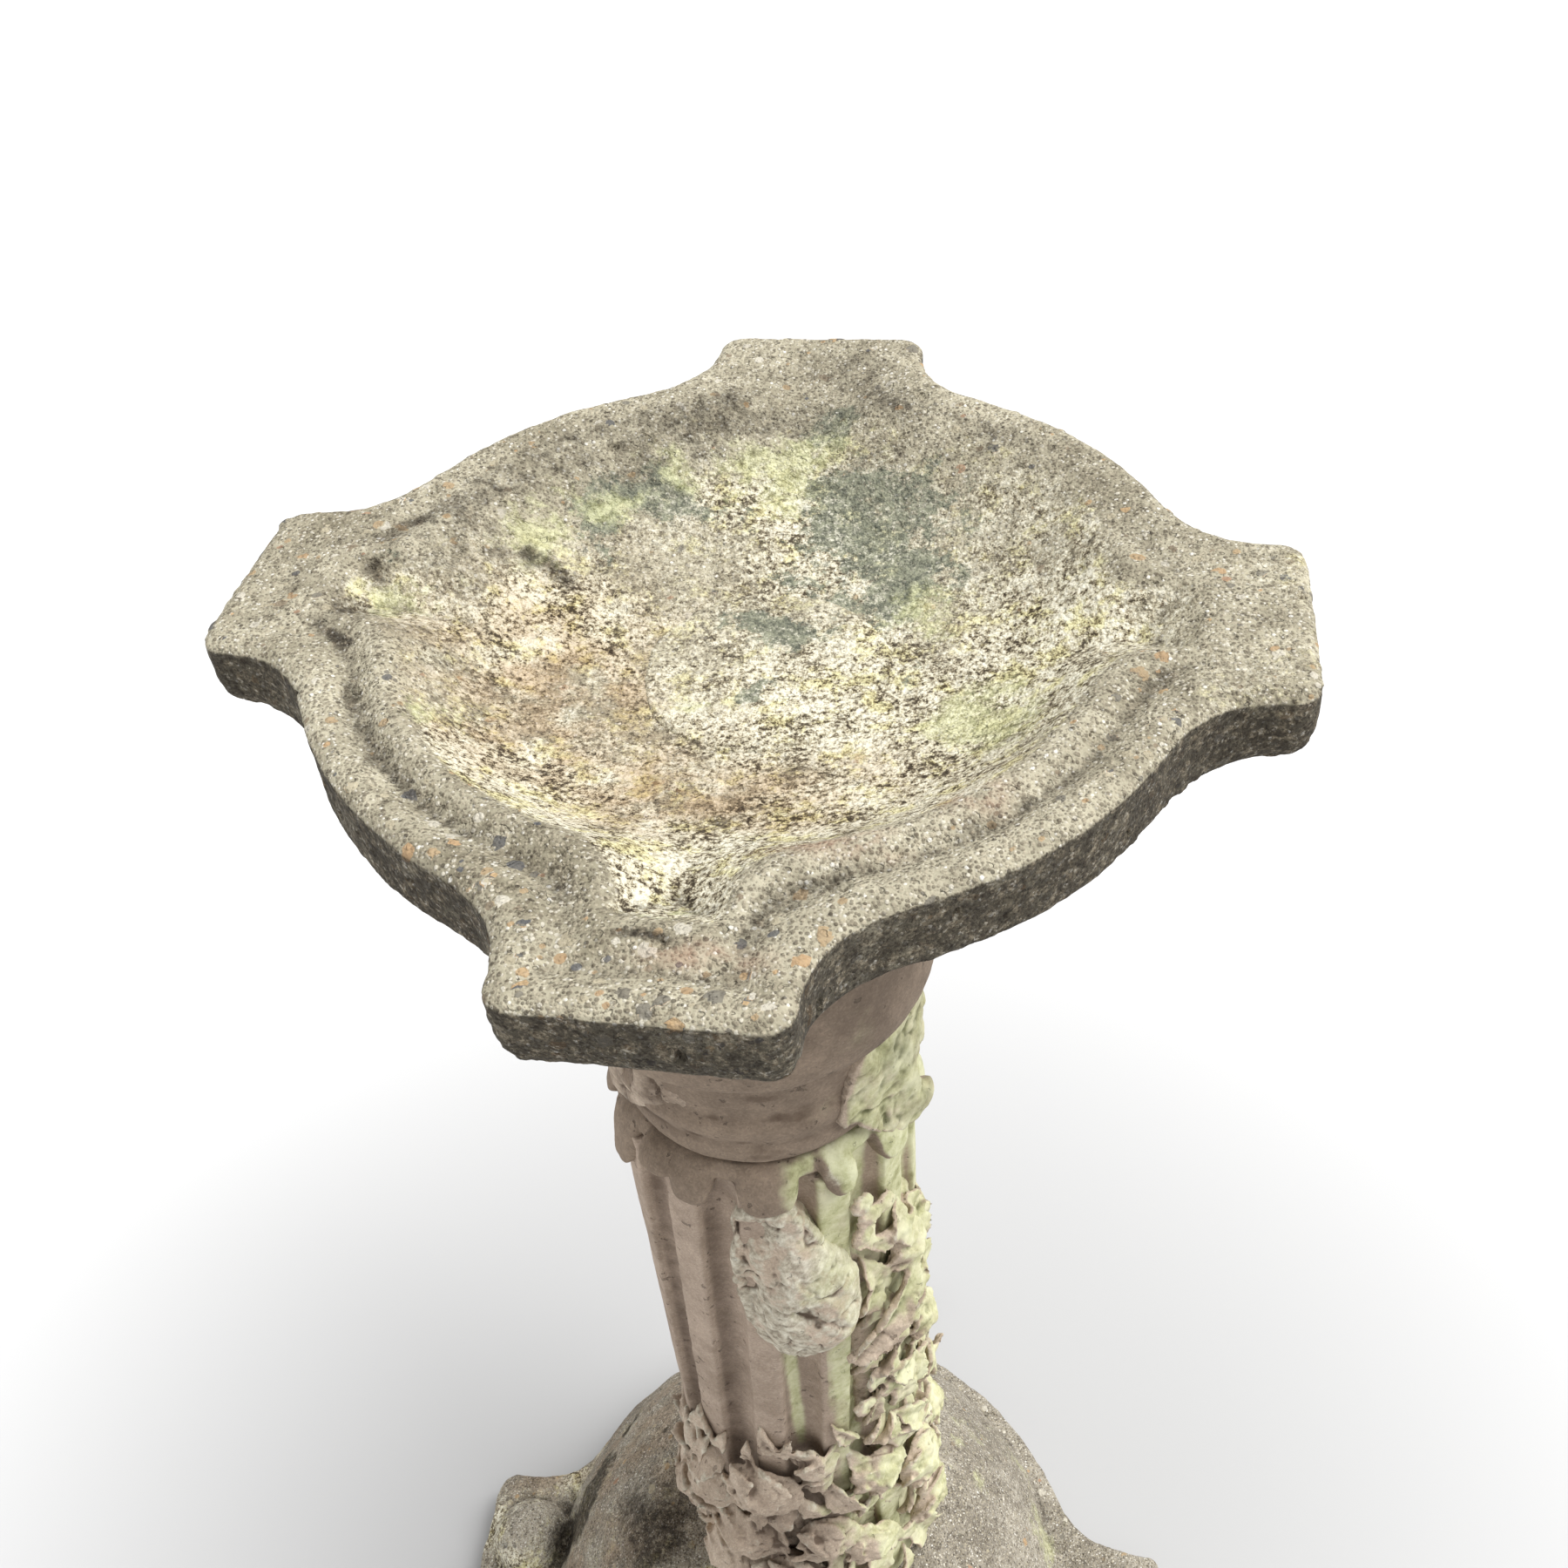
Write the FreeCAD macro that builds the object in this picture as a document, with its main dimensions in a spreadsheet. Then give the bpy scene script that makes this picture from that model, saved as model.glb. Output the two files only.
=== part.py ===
import FreeCAD, Part
import math
import os

import Sketcher

# A cast-stone bird bath: an eared bowl resting on a fluted pedestal, which stands on an eared plinth.
# Millimetres. +Z is up, the origin is the middle of the plinth's underside, and the ears of the bowl
# and of the plinth point along X and Y. The front of the object faces -Y.

DIMENSIONS = {
    # plinth: an eared slab with a dome that rises to the pedestal, and a boss on each ear
    "plinth_radius": 182, "plinth_reach": 238, "plinth_ear": 94, "plinth_flare": 40, "plinth_corner": 12,
    "plinth_edge": 27, "plinth_height": 140, "dome_foot": 174, "dome_top": 98, "dome_round": 260,
    "boss_radius": 27, "boss_reach": 205, "boss_sink": 2,
    # shaft: a column with hollow flutes, standing a little off the middle of the plinth
    "shaft_x": 7, "shaft_y": 9, "shaft_radius": 69, "shaft_height": 446,
    "flute_radius": 10, "flute_setback": 3, "flute_low": 170, "flute_high": 432, "flute_count": 12,
    # wreath of roses and leaves round the foot of the shaft
    "rose_radius": 21, "rose_ring": 61, "rose_low": 16, "rose_row": 38, "rose_lift": 7,
    "foot_leaf_ring": 66, "foot_leaf_height": 186, "foot_leaf_long": 30, "foot_leaf_wide": 17,
    "foot_leaf_thick": 12,
    # garland down one side of the shaft
    "garland_low": 253, "garland_high": 404, "garland_ball": 18, "garland_ring": 60,
    # worn leaf that hangs down the front
    "drop_height": 386, "drop_long": 58, "drop_wide": 27, "drop_thick": 17, "drop_ring": 66,
    # leaf collar: a bell that carries the capital, and tongues that hang from it over the flutes
    "collar_height": 29, "collar_top": 57, "collar_foot": 73, "collar_round": 70,
    "tongue_long": 20, "tongue_wide": 15, "tongue_thick": 8, "tongue_ring": 68, "tongue_drop": 1,
    # acanthus leaves that curl out under the bell
    "acanthus_long": 50, "acanthus_wide": 34, "acanthus_thick": 22, "acanthus_ring": 56, "acanthus_height": 36,
    # capital: neck, ring moulding, waist and bell, up to the flat seat of the bowl
    "capital_height": 182, "neck_radius": 57, "ring_radius": 62, "ring_low": 4, "ring_high": 24,
    "ring_round": 11, "waist_radius": 58, "waist_high": 70, "bell_lip": 75, "bell_low": 74,
    "bell_radius": 78, "bell_mid": 95, "bell_high": 150, "bell_shoulder": 70, "bell_round": 90,
    "seat_radius": 64,
    # bowl: an eared rim on a dished underside, resting off the pedestal's axis
    "bowl_x": 24, "bowl_y": 13, "bowl_radius": 149, "bowl_reach": 180, "bowl_ear": 78, "bowl_flare": 30,
    "bowl_corner": 10, "bowl_height": 67, "rim_thickness": 30, "under_edge": 9,
    "under_radius": 140, "under_foot": 66, "under_round": 170,
    # the moulding step inside the rim, the basin, and the scoop that runs from it into each ear
    "step_radius": 136, "step_reach": 166, "step_ear": 48, "step_flare": 38, "step_corner": 6,
    "step_depth": 4, "step_cut": 8,
    "basin_mouth": 119, "basin_heel": 88, "basin_shelf": 26, "basin_depth": 36, "basin_round": 392,
    "wall_round": 90, "scoop_reach": 104, "scoop_long": 48, "scoop_wide": 21, "scoop_deep": 17,
    # round of mortar let into the middle of the basin
    "patch_radius": 44, "patch_thick": 6, "patch_sink": 2,
}

FLUTE_TURN_DEG = 15
FRONT_DEG = -75
TONGUE_DROPS = (0, 7, 3, 10, 5, 8, 0, 6, 9, 2, 7, 4)
TONGUE_LEAN_DEG = -5
ACANTHUS_DEG = (-148, -22, 96)
ACANTHUS_LEAN_DEG = 8
GARLAND_DEG = (-35, -14, 7)
GARLAND_ROWS = 8
GARLAND_SWAY_DEG = 3
FOOT_ROSES = 11
FOOT_ROWS = 5
FOOT_LEAVES = 14
FOOT_LEAF_LEAN_DEG = 8

os.makedirs("parts", exist_ok=True)
doc = FreeCAD.newDocument("BirdBath")


def make_sheet():
    """Write the driving dimensions into a spreadsheet, one aliased cell each."""
    cells = doc.addObject("Spreadsheet::Sheet", "dims")
    for row, (alias, size) in enumerate(DIMENSIONS.items(), start=1):
        cells.set("A%d" % row, alias.replace("_", " "))
        cells.set("B%d" % row, str(size))
        cells.setAlias("B%d" % row, alias)
    doc.recompute()
    return cells


sheet = make_sheet()


def terms(text):
    """Split a sum such as "bowl_height - rim_thickness" into signed aliases."""
    parts = text.replace(" ", "").replace("-", "+-").split("+")
    return [part for part in parts if part]


def number(text):
    """The value of a sum of aliases, read from the sheet."""
    total = 0.0
    for term in terms(text):
        total += -sheet.get(term[1:]) if term.startswith("-") else sheet.get(term)
    return total


def formula(text, factor=""):
    """The same sum as an expression on the sheet, with an optional factor before it."""
    joined = "".join("-dims." + t[1:] if t.startswith("-") else "+dims." + t for t in terms(text))
    joined = joined.lstrip("+") or "0"
    return "%s * (%s)" % (factor, joined) if factor else joined


def bind(obj, **sizes):
    """Bind properties of an object to sums of aliases."""
    for name, text in sizes.items():
        obj.setExpression(name, formula(text))


def place(obj, east, north, up):
    """Stand an object at sums of aliases along X, Y and Z."""
    for axis, text in (("x", east), ("y", north), ("z", up)):
        if text:
            obj.setExpression(".Placement.Base." + axis, formula(text))


def origin_plane(body, role):
    """One of a body's own origin planes."""
    return next(item for item in body.Origin.OriginFeatures if item.Role == role)


def arc_between(start, end, radius, left):
    """A minor arc whose centre lies on the left or the right of the way from start to end."""
    chord = end - start
    rise = math.sqrt(radius ** 2 - (chord.Length / 2) ** 2)
    side = FreeCAD.Vector(-chord.y, chord.x, 0).normalize()
    centre = (start + end) * 0.5 + side * (rise if left else -rise)
    first, last = (start, end) if left else (end, start)
    angles = [math.atan2(p.y - centre.y, p.x - centre.x) for p in (first, last)]
    return Part.ArcOfCircle(Part.Circle(centre, FreeCAD.Vector(0, 0, 1), radius), *angles)


def pin_corner(sketch, edge, point, corner):
    """Hold one corner of a profile at its sheet dimensions."""
    for kind, text, axis in (("DistanceX", corner[0], -2), ("DistanceY", corner[1], -1)):
        if text:
            held = sketch.addConstraint(Sketcher.Constraint(kind, -1, 1, edge, point, number(text)))
            sketch.setExpression("Constraints[%d]" % held, formula(text))
        else:
            sketch.addConstraint(Sketcher.Constraint("PointOnObject", edge, point, axis))


def profile(body, name, corners, arcs):
    """Sketch a closed profile through sheet-driven corners; arcs maps an edge to (radius, left)."""
    sketch = body.newObject("Sketcher::SketchObject", name)
    sketch.AttachmentSupport = [(origin_plane(body, "XZ_Plane"), "")]
    sketch.MapMode = "FlatFace"
    points = [FreeCAD.Vector(number(x), number(y), 0) for x, y in corners]
    ends = []
    for index, start in enumerate(points):
        end = points[(index + 1) % len(points)]
        if index in arcs:
            radius, left = arcs[index]
            sketch.addGeometry(arc_between(start, end, number(radius), left), False)
            ends.append((1, 2) if left else (2, 1))
        else:
            sketch.addGeometry(Part.LineSegment(start, end), False)
            ends.append((1, 2))
    for index, corner in enumerate(corners):
        after = (index + 1) % len(points)
        sketch.addConstraint(Sketcher.Constraint("Coincident", index, ends[index][1], after, ends[after][0]))
        pin_corner(sketch, index, ends[index][0], corner)
        if index in arcs:
            radius = arcs[index][0]
            held = sketch.addConstraint(Sketcher.Constraint("Radius", index, number(radius)))
            sketch.setExpression("Constraints[%d]" % held, formula(radius))
    return sketch


def turned(name, corners, arcs=None):
    """A body of revolution about its own Z axis."""
    body = doc.addObject("PartDesign::Body", name)
    sketch = profile(body, name + "_profile", corners, arcs or {})
    turn = body.newObject("PartDesign::Revolution", name + "_turn")
    turn.Profile = sketch
    turn.ReferenceAxis = (sketch, ["V_Axis"])
    turn.Angle = 360
    doc.recompute()
    return body


def fuse(name, shapes):
    """Join shapes into one."""
    joined = doc.addObject("Part::MultiFuse", name)
    joined.Shapes = shapes
    joined.Refine = True
    doc.recompute()
    return joined


def cut(name, base, tool):
    """Take a tool away from a base."""
    rest = doc.addObject("Part::Cut", name)
    rest.Base = base
    rest.Tool = tool
    doc.recompute()
    return rest


def round_edges(name, base, radius, wanted):
    """Round the edges of a shape that pass a test."""
    rounded = doc.addObject("Part::Fillet", name)
    rounded.Base = base
    chosen = [i for i, edge in enumerate(base.Shape.Edges, start=1) if wanted(edge)]
    rounded.Edges = [(index, number(radius), number(radius)) for index in chosen]
    doc.recompute()
    return rounded


def upright(edge):
    """Whether an edge runs straight up."""
    first, last = edge.Vertexes[0].Point, edge.Vertexes[-1].Point
    return math.hypot(first.x - last.x, first.y - last.y) < 1e-6 < abs(first.z - last.z)


def eared_plate(prefix, thick, level):
    """A round plate with four ears and hollow flares where the ears leave the circle."""
    disc = doc.addObject("Part::Cylinder", prefix + "_disc")
    bind(disc, Radius=prefix + "_radius", Height=thick)
    place(disc, "", "", level)
    ear, reach = prefix + "_ear", prefix + "_reach"
    bars = []
    for along in ("x", "y"):
        bar = doc.addObject("Part::Box", prefix + "_bar_" + along)
        long, wide = ("Length", "Width") if along == "x" else ("Width", "Length")
        across = "y" if along == "x" else "x"
        bar.setExpression(long, formula(reach, "2"))
        bind(bar, **{wide: ear, "Height": thick})
        bar.setExpression(".Placement.Base." + along, formula("-" + reach))
        bar.setExpression(".Placement.Base." + across, formula(ear, "-0.5"))
        place(bar, "", "", level)
        bars.append(bar)
    cross = fuse(prefix + "_cross", [disc] + bars)
    limit = number(reach) - 1

    def reach_of(edge):
        point = edge.Vertexes[0].Point
        return max(abs(point.x), abs(point.y))

    flared = round_edges(prefix + "_flares", cross, prefix + "_flare",
                         lambda edge: upright(edge) and reach_of(edge) < limit)
    return round_edges(prefix + "_plate", flared, prefix + "_corner",
                       lambda edge: upright(edge) and reach_of(edge) > limit)


def ball(name, spot, turn, **radii):
    """An ellipsoid set at a spot and turned; up, out and across are its three half-sizes."""
    blob = doc.addObject("Part::Ellipsoid", name)
    bind(blob, Radius1=radii["up"], Radius2=radii["out"], Radius3=radii["across"])
    blob.Placement = FreeCAD.Placement(spot, turn)
    return blob


def on_pedestal(angle_deg, radius, height):
    """A point round the pedestal's axis, at a height above its foot."""
    angle = math.radians(angle_deg)
    east = number("shaft_x") + radius * math.cos(angle)
    north = number("shaft_y") + radius * math.sin(angle)
    return FreeCAD.Vector(east, north, number("plinth_height") + height)


def facing(angle_deg, lean_deg=0, roll_deg=0):
    """Turn an ellipsoid to face outward, with a lean and a roll of its own."""
    outward = FreeCAD.Rotation(FreeCAD.Vector(0, 0, 1), angle_deg)
    lean = FreeCAD.Rotation(FreeCAD.Vector(0, 1, 0), lean_deg)
    roll = FreeCAD.Rotation(FreeCAD.Vector(1, 0, 0), roll_deg)
    return outward.multiply(lean).multiply(roll)


def shaft_core(name):
    """The shaft without its flutes, which trims the relief to the surface that it sits on."""
    rod = doc.addObject("Part::Cylinder", name)
    bind(rod, Radius="shaft_radius", Height="shaft_height")
    place(rod, "shaft_x", "shaft_y", "plinth_height")
    return rod


def clear_block(name, low, height):
    """A wide block that stands on a level, which trims what reaches past a bed joint."""
    box = doc.addObject("Part::Box", name)
    box.setExpression("Length", formula("plinth_radius", "2"))
    box.setExpression("Width", formula("plinth_radius", "2"))
    bind(box, Height=height)
    place(box, "-plinth_radius", "-plinth_radius", low)
    return box


def make_plinth():
    """The eared slab, its dome and the rounded boss on each ear."""
    slab = eared_plate("plinth", "plinth_edge", "")
    dome = turned("plinth_dome", [
        ("", ""), ("dome_foot", ""), ("dome_foot", "plinth_edge"), ("dome_top", "plinth_height"),
        ("", "plinth_height")], {2: ("dome_round", True)})
    bosses = []
    for quarter in range(4):
        boss = doc.addObject("Part::Sphere", "plinth_boss_%d" % quarter)
        bind(boss, Radius="boss_radius")
        boss.Angle1 = 0
        angle = math.radians(90 * quarter)
        reach = number("boss_reach")
        boss.Placement.Base = FreeCAD.Vector(reach * math.cos(angle), reach * math.sin(angle),
                                             number("plinth_edge - boss_sink"))
        bosses.append(boss)
    return fuse("plinth_casting", [slab, dome] + bosses)


def make_shaft():
    """A turned column with a ring of hollow flutes."""
    body = turned("shaft_column", [
        ("", ""), ("shaft_radius", ""), ("shaft_radius", "shaft_height"), ("", "shaft_height")])
    plain = body.Shape.Volume
    sketch = body.newObject("Sketcher::SketchObject", "flute_circle")
    sketch.AttachmentSupport = [(origin_plane(body, "XY_Plane"), "")]
    sketch.MapMode = "FlatFace"
    sketch.setExpression(".AttachmentOffset.Base.z", formula("flute_low"))
    middle = FreeCAD.Vector(number("shaft_radius + flute_setback"), 0, 0)
    sketch.addGeometry(Part.Circle(middle, FreeCAD.Vector(0, 0, 1), number("flute_radius")), False)
    sketch.addConstraint(Sketcher.Constraint("PointOnObject", 0, 3, -1))
    held = sketch.addConstraint(Sketcher.Constraint("DistanceX", -1, 1, 0, 3, middle.x))
    sketch.setExpression("Constraints[%d]" % held, formula("shaft_radius + flute_setback"))
    held = sketch.addConstraint(Sketcher.Constraint("Radius", 0, number("flute_radius")))
    sketch.setExpression("Constraints[%d]" % held, formula("flute_radius"))
    flute = body.newObject("PartDesign::Pocket", "flute")
    flute.Profile = sketch
    flute.Reversed = True
    flute.setExpression("Length", formula("flute_high - flute_low"))
    doc.recompute()
    if flute.Shape.Volume > plain - 1:
        raise RuntimeError("the first flute cuts nothing")
    flutes = body.newObject("PartDesign::PolarPattern", "flutes")
    flutes.Originals = [flute]
    flutes.Axis = (sketch, ["N_Axis"])
    flutes.Angle = 360
    flutes.setExpression("Occurrences", formula("flute_count"))
    body.Tip = flutes
    body.Placement.Rotation = FreeCAD.Rotation(FreeCAD.Vector(0, 0, 1), FLUTE_TURN_DEG)
    place(body, "shaft_x", "shaft_y", "plinth_height")
    doc.recompute()
    return body


def make_collar():
    """The bell under the capital and the leaf tongues that hang from it over the flutes."""
    bell = turned("collar_bell", [
        ("", ""), ("collar_foot", ""), ("collar_top", "collar_height"), ("", "collar_height")],
        {1: ("collar_round", False)})
    place(bell, "shaft_x", "shaft_y", "plinth_height + shaft_height")
    tongues = []
    pitch = 360.0 / len(TONGUE_DROPS)
    for index, drop in enumerate(TONGUE_DROPS):
        angle = FRONT_DEG + pitch * (index + 0.5)
        height = number("shaft_height - tongue_drop") - drop
        tongues.append(ball("tongue_%d" % index, on_pedestal(angle, number("tongue_ring"), height),
                            facing(angle, TONGUE_LEAN_DEG),
                            up="tongue_long", out="tongue_thick", across="tongue_wide"))
    whole = fuse("collar_leaves", [bell] + tongues)
    bed = "plinth_height + shaft_height + collar_height"
    above = clear_block("above_collar", bed, "collar_height")
    return cut("collar_trimmed", whole, fuse("collar_trim", [above, shaft_core("collar_core")]))


def make_capital():
    """Neck, ring moulding, waist and bell, up to the flat seat of the bowl."""
    body = turned("capital_block", [
        ("", ""), ("neck_radius", ""), ("ring_radius", "ring_low"), ("ring_radius", "ring_high"),
        ("waist_radius", "ring_high + ring_low"), ("waist_radius", "waist_high"), ("bell_lip", "bell_low"),
        ("bell_radius", "bell_mid"), ("bell_shoulder", "bell_high"), ("seat_radius", "capital_height"),
        ("", "capital_height")],
        {2: ("ring_round", True), 7: ("bell_round", True)})
    place(body, "shaft_x", "shaft_y", "plinth_height + shaft_height + collar_height")
    doc.recompute()
    return body


def make_acanthus(capital, collar):
    """Leaves that curl out from the collar towards the bell."""
    leaves = []
    for index, angle in enumerate(ACANTHUS_DEG):
        height = number("shaft_height + acanthus_height")
        leaves.append(ball("acanthus_%d" % index, on_pedestal(angle, number("acanthus_ring"), height),
                           facing(angle, ACANTHUS_LEAN_DEG),
                           up="acanthus_long", out="acanthus_thick", across="acanthus_wide"))
    trim = fuse("acanthus_trim", [capital, collar, shaft_core("acanthus_core")])
    return cut("acanthus_trimmed", fuse("acanthus_group", leaves), trim)


def make_drop(collar):
    """The worn leaf that hangs down the front of the shaft."""
    leaf = ball("drop_leaf", on_pedestal(FRONT_DEG, number("drop_ring"), number("drop_height")),
                facing(FRONT_DEG), up="drop_long", out="drop_thick", across="drop_wide")
    return cut("drop_trimmed", leaf, fuse("drop_trim", [collar, shaft_core("drop_core")]))


def make_garland(collar):
    """Rounded roses and leaves massed down one side of the shaft."""
    balls = []
    step = number("garland_high - garland_low") / (GARLAND_ROWS - 1)
    for row in range(GARLAND_ROWS):
        for column, angle in enumerate(GARLAND_DEG):
            sway = GARLAND_SWAY_DEG * math.sin(row + column)
            spot = on_pedestal(angle + sway, number("garland_ring"), number("garland_low") + row * step)
            balls.append(ball("garland_%d_%d" % (row, column), spot, facing(angle + sway),
                              up="garland_ball", out="garland_ball", across="garland_ball"))
    trim = fuse("garland_trim", [collar, shaft_core("garland_core")])
    return cut("garland_trimmed", fuse("garland_group", balls), trim)


def make_foot_roses():
    """A wreath of roses on the plinth with a row of leaves standing behind them."""
    blooms = []
    for row in range(FOOT_ROWS):
        for index in range(FOOT_ROSES):
            angle = FRONT_DEG + 360.0 * (index + row % 2 * 0.5) / FOOT_ROSES
            height = number("rose_low") + row * number("rose_row") + index % 2 * number("rose_lift")
            blooms.append(ball("rose_%d_%d" % (row, index), on_pedestal(angle, number("rose_ring"), height),
                               facing(angle), up="rose_radius", out="rose_radius", across="rose_radius"))
    for index in range(FOOT_LEAVES):
        angle = FRONT_DEG + 360.0 * (index + 0.5) / FOOT_LEAVES
        height = number("foot_leaf_height") + index % 3 * number("rose_lift")
        blooms.append(ball("foot_leaf_%d" % index, on_pedestal(angle, number("foot_leaf_ring"), height),
                           facing(angle, FOOT_LEAF_LEAN_DEG),
                           up="foot_leaf_long", out="foot_leaf_thick", across="foot_leaf_wide"))
    below = clear_block("below_foot", "", "plinth_height")
    trim = fuse("foot_trim", [below, shaft_core("foot_core")])
    return cut("foot_trimmed", fuse("foot_group", blooms), trim)


def make_bowl():
    """The eared rim on its dished underside, with the moulding step, the basin and its ear scoops."""
    rim = eared_plate("bowl", "rim_thickness", "bowl_height - rim_thickness")
    level = number("bowl_height - rim_thickness")

    def under_rim(edge):
        return all(abs(vertex.Point.z - level) < 1e-6 for vertex in edge.Vertexes)

    rim = round_edges("bowl_rim", rim, "under_edge", under_rim)
    under = turned("bowl_under", [
        ("", ""), ("under_foot", ""), ("under_radius", "bowl_height - rim_thickness"),
        ("", "bowl_height - rim_thickness")], {1: ("under_round", True)})
    step = eared_plate("step", "step_cut", "bowl_height - step_depth")
    basin = turned("basin", [
        ("", "bowl_height - basin_depth"), ("basin_heel", "bowl_height - basin_shelf"),
        ("basin_mouth", "bowl_height"), ("basin_mouth", "bowl_height + step_depth"),
        ("", "bowl_height + step_depth")],
        {0: ("basin_round", True), 1: ("wall_round", True)})
    seat = doc.addObject("Part::Cylinder", "patch_seat")
    bind(seat, Radius="patch_radius", Height="basin_depth")
    place(seat, "", "", "bowl_height - basin_depth - patch_sink")
    hollows = [step, basin, seat]
    for quarter in range(4):
        turn = FreeCAD.Rotation(FreeCAD.Vector(0, 0, 1), 90 * quarter)
        spot = turn.multVec(FreeCAD.Vector(number("scoop_reach"), 0, number("bowl_height")))
        hollows.append(ball("scoop_%d" % quarter, spot, turn,
                            up="scoop_deep", out="scoop_long", across="scoop_wide"))
    solid = fuse("bowl_solid", [rim, under])
    return cut("bowl_casting", solid, fuse("bowl_hollows", hollows))


def make_patch():
    """The round of mortar let into the middle of the basin."""
    disc = doc.addObject("Part::Cylinder", "patch_disc")
    bind(disc, Radius="patch_radius", Height="patch_thick")
    return disc


def check(nodes):
    """Stop before anything is written if a feature failed or a node is empty or invalid."""
    doc.recompute()
    for obj in doc.Objects:
        if "Invalid" in obj.State or "Error" in obj.State:
            raise RuntimeError("%s failed: %s" % (obj.Name, obj.State))
    for label, obj in nodes.items():
        if obj.Shape.isNull() or not obj.Shape.isValid() or not obj.Shape.Solids:
            raise RuntimeError("%s has no valid solid" % label)


collar = make_collar()
capital = make_capital()
bowl = make_bowl()
patch = make_patch()
pedestal_top = "plinth_height + shaft_height + collar_height + capital_height"
place(bowl, "bowl_x", "bowl_y", pedestal_top)
place(patch, "bowl_x", "bowl_y", pedestal_top + " + bowl_height - basin_depth - patch_sink")

nodes = {
    "plinth": make_plinth(),
    "shaft": make_shaft(),
    "foot_roses": make_foot_roses(),
    "rose_garland": make_garland(collar),
    "leaf_drop": make_drop(collar),
    "leaf_collar": collar,
    "acanthus_leaves": make_acanthus(capital, collar),
    "capital": capital,
    "bowl": bowl,
    "basin_patch": patch,
}
for label, obj in nodes.items():
    obj.Label = label
check(nodes)
for label, obj in nodes.items():
    obj.Shape.exportStep("parts/%s.step" % label)
    box = obj.Shape.BoundBox
    print("%-16s solids %d volume %9.0f z %.1f..%.1f x %.1f..%.1f y %.1f..%.1f" % (
        label, len(obj.Shape.Solids), obj.Shape.Volume, box.ZMin, box.ZMax,
        box.XMin, box.XMax, box.YMin, box.YMax))
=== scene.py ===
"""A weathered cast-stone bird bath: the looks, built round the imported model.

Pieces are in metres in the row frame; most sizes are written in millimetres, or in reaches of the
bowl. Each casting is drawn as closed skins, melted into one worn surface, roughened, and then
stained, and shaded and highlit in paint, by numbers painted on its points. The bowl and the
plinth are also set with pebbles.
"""

import itertools
import math

import bpy
import numpy as np
from mathutils import Matrix, Vector
from mathutils.kdtree import KDTree


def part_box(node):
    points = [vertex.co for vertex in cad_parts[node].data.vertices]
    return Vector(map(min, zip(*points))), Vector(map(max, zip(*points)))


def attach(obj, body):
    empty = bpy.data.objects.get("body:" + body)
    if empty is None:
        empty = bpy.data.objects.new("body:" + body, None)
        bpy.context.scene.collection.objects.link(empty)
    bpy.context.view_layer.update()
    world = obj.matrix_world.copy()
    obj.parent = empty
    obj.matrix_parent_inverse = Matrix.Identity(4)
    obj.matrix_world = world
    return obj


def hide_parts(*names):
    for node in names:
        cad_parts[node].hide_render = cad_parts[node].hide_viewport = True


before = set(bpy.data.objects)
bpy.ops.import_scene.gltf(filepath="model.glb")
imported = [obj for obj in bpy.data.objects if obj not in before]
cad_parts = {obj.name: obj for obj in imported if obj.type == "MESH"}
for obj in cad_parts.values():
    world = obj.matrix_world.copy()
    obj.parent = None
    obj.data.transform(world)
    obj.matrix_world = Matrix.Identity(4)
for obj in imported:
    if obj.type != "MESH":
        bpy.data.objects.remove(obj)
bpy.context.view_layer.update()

# ---- sizes, from the frame

MM = 0.001
bowl_low, bowl_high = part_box("bowl")
plinth_low, plinth_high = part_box("plinth")
shaft_low, shaft_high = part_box("shaft")
capital_low, capital_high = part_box("capital")

REACH = (bowl_high.x - bowl_low.x) / 2  # bowl's middle to the end of an ear
BOWL = (bowl_low + bowl_high) / 2
RIM = bowl_high.z
AXIS = (capital_low + capital_high) / 2  # on the column's axis
SHAFT_RADIUS = (shaft_high.x - shaft_low.x) / 2
FOOT = shaft_low.z
PLINTH_REACH = (plinth_high.x - plinth_low.x) / 2

COARSE = 1.0
FRONT, LEVEL = math.radians(-73), 490  # the front flute's azimuth, at this height in mm


# ---- numbers on arrays


def ease(value, low, high):
    """0 below low, 1 above high, smooth between."""
    t = np.clip((value - low) / (high - low), 0, 1)
    return t * t * (3 - 2 * t)


def hashed(cell, seed):
    """A repeatable number from -1 to 1 for each whole-number cell."""
    n = cell[:, 0] * 73856093 ^ cell[:, 1] * 19349663 ^ cell[:, 2] * 83492791 ^ (seed + 1) * 40503
    n = (n ^ (n >> 13)) * 1274126177 & 0xFFFFFFFF
    n = (n ^ (n >> 15)) * 668265263 & 0xFFFFFFFF
    return ((n >> 8) & 0xFFFF) / 32767.5 - 1


def noise(points, size, seed=0):
    """Smooth noise from -1 to 1 whose lumps are about size across."""
    scaled = points / size
    base = np.floor(scaled).astype(np.int64)
    part = scaled - base
    part = part * part * (3 - 2 * part)
    total = np.zeros(len(points))
    for corner in itertools.product((0, 1), repeat=3):
        weight = np.prod(np.where(corner, part, 1 - part), axis=1)
        total += weight * hashed(base + np.array(corner), seed)
    return total


def rough(points, size, seed=0, octaves=4):
    """Several sizes of noise added up, from about -1 to 1."""
    return sum(noise(points, size / 2**k, seed + k) / 2**k for k in range(octaves)) / 1.5


def hill(value, width):
    """1 where value is 0, falling to 0 a few widths away."""
    return np.exp(-((value / width) ** 2))


def creases(points, size, seed):
    """1 along thin crooked lines about size millimetres apart, 0 between them."""
    return hill(rough(points, size * MM, seed, 3), 0.11)


def blend_min(a, b, width):
    """The smaller of two distances, rounded over where they're within width of each other."""
    near = np.maximum(width - abs(a - b), 0) / width
    return np.minimum(a, b) - near * near * width / 4


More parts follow.
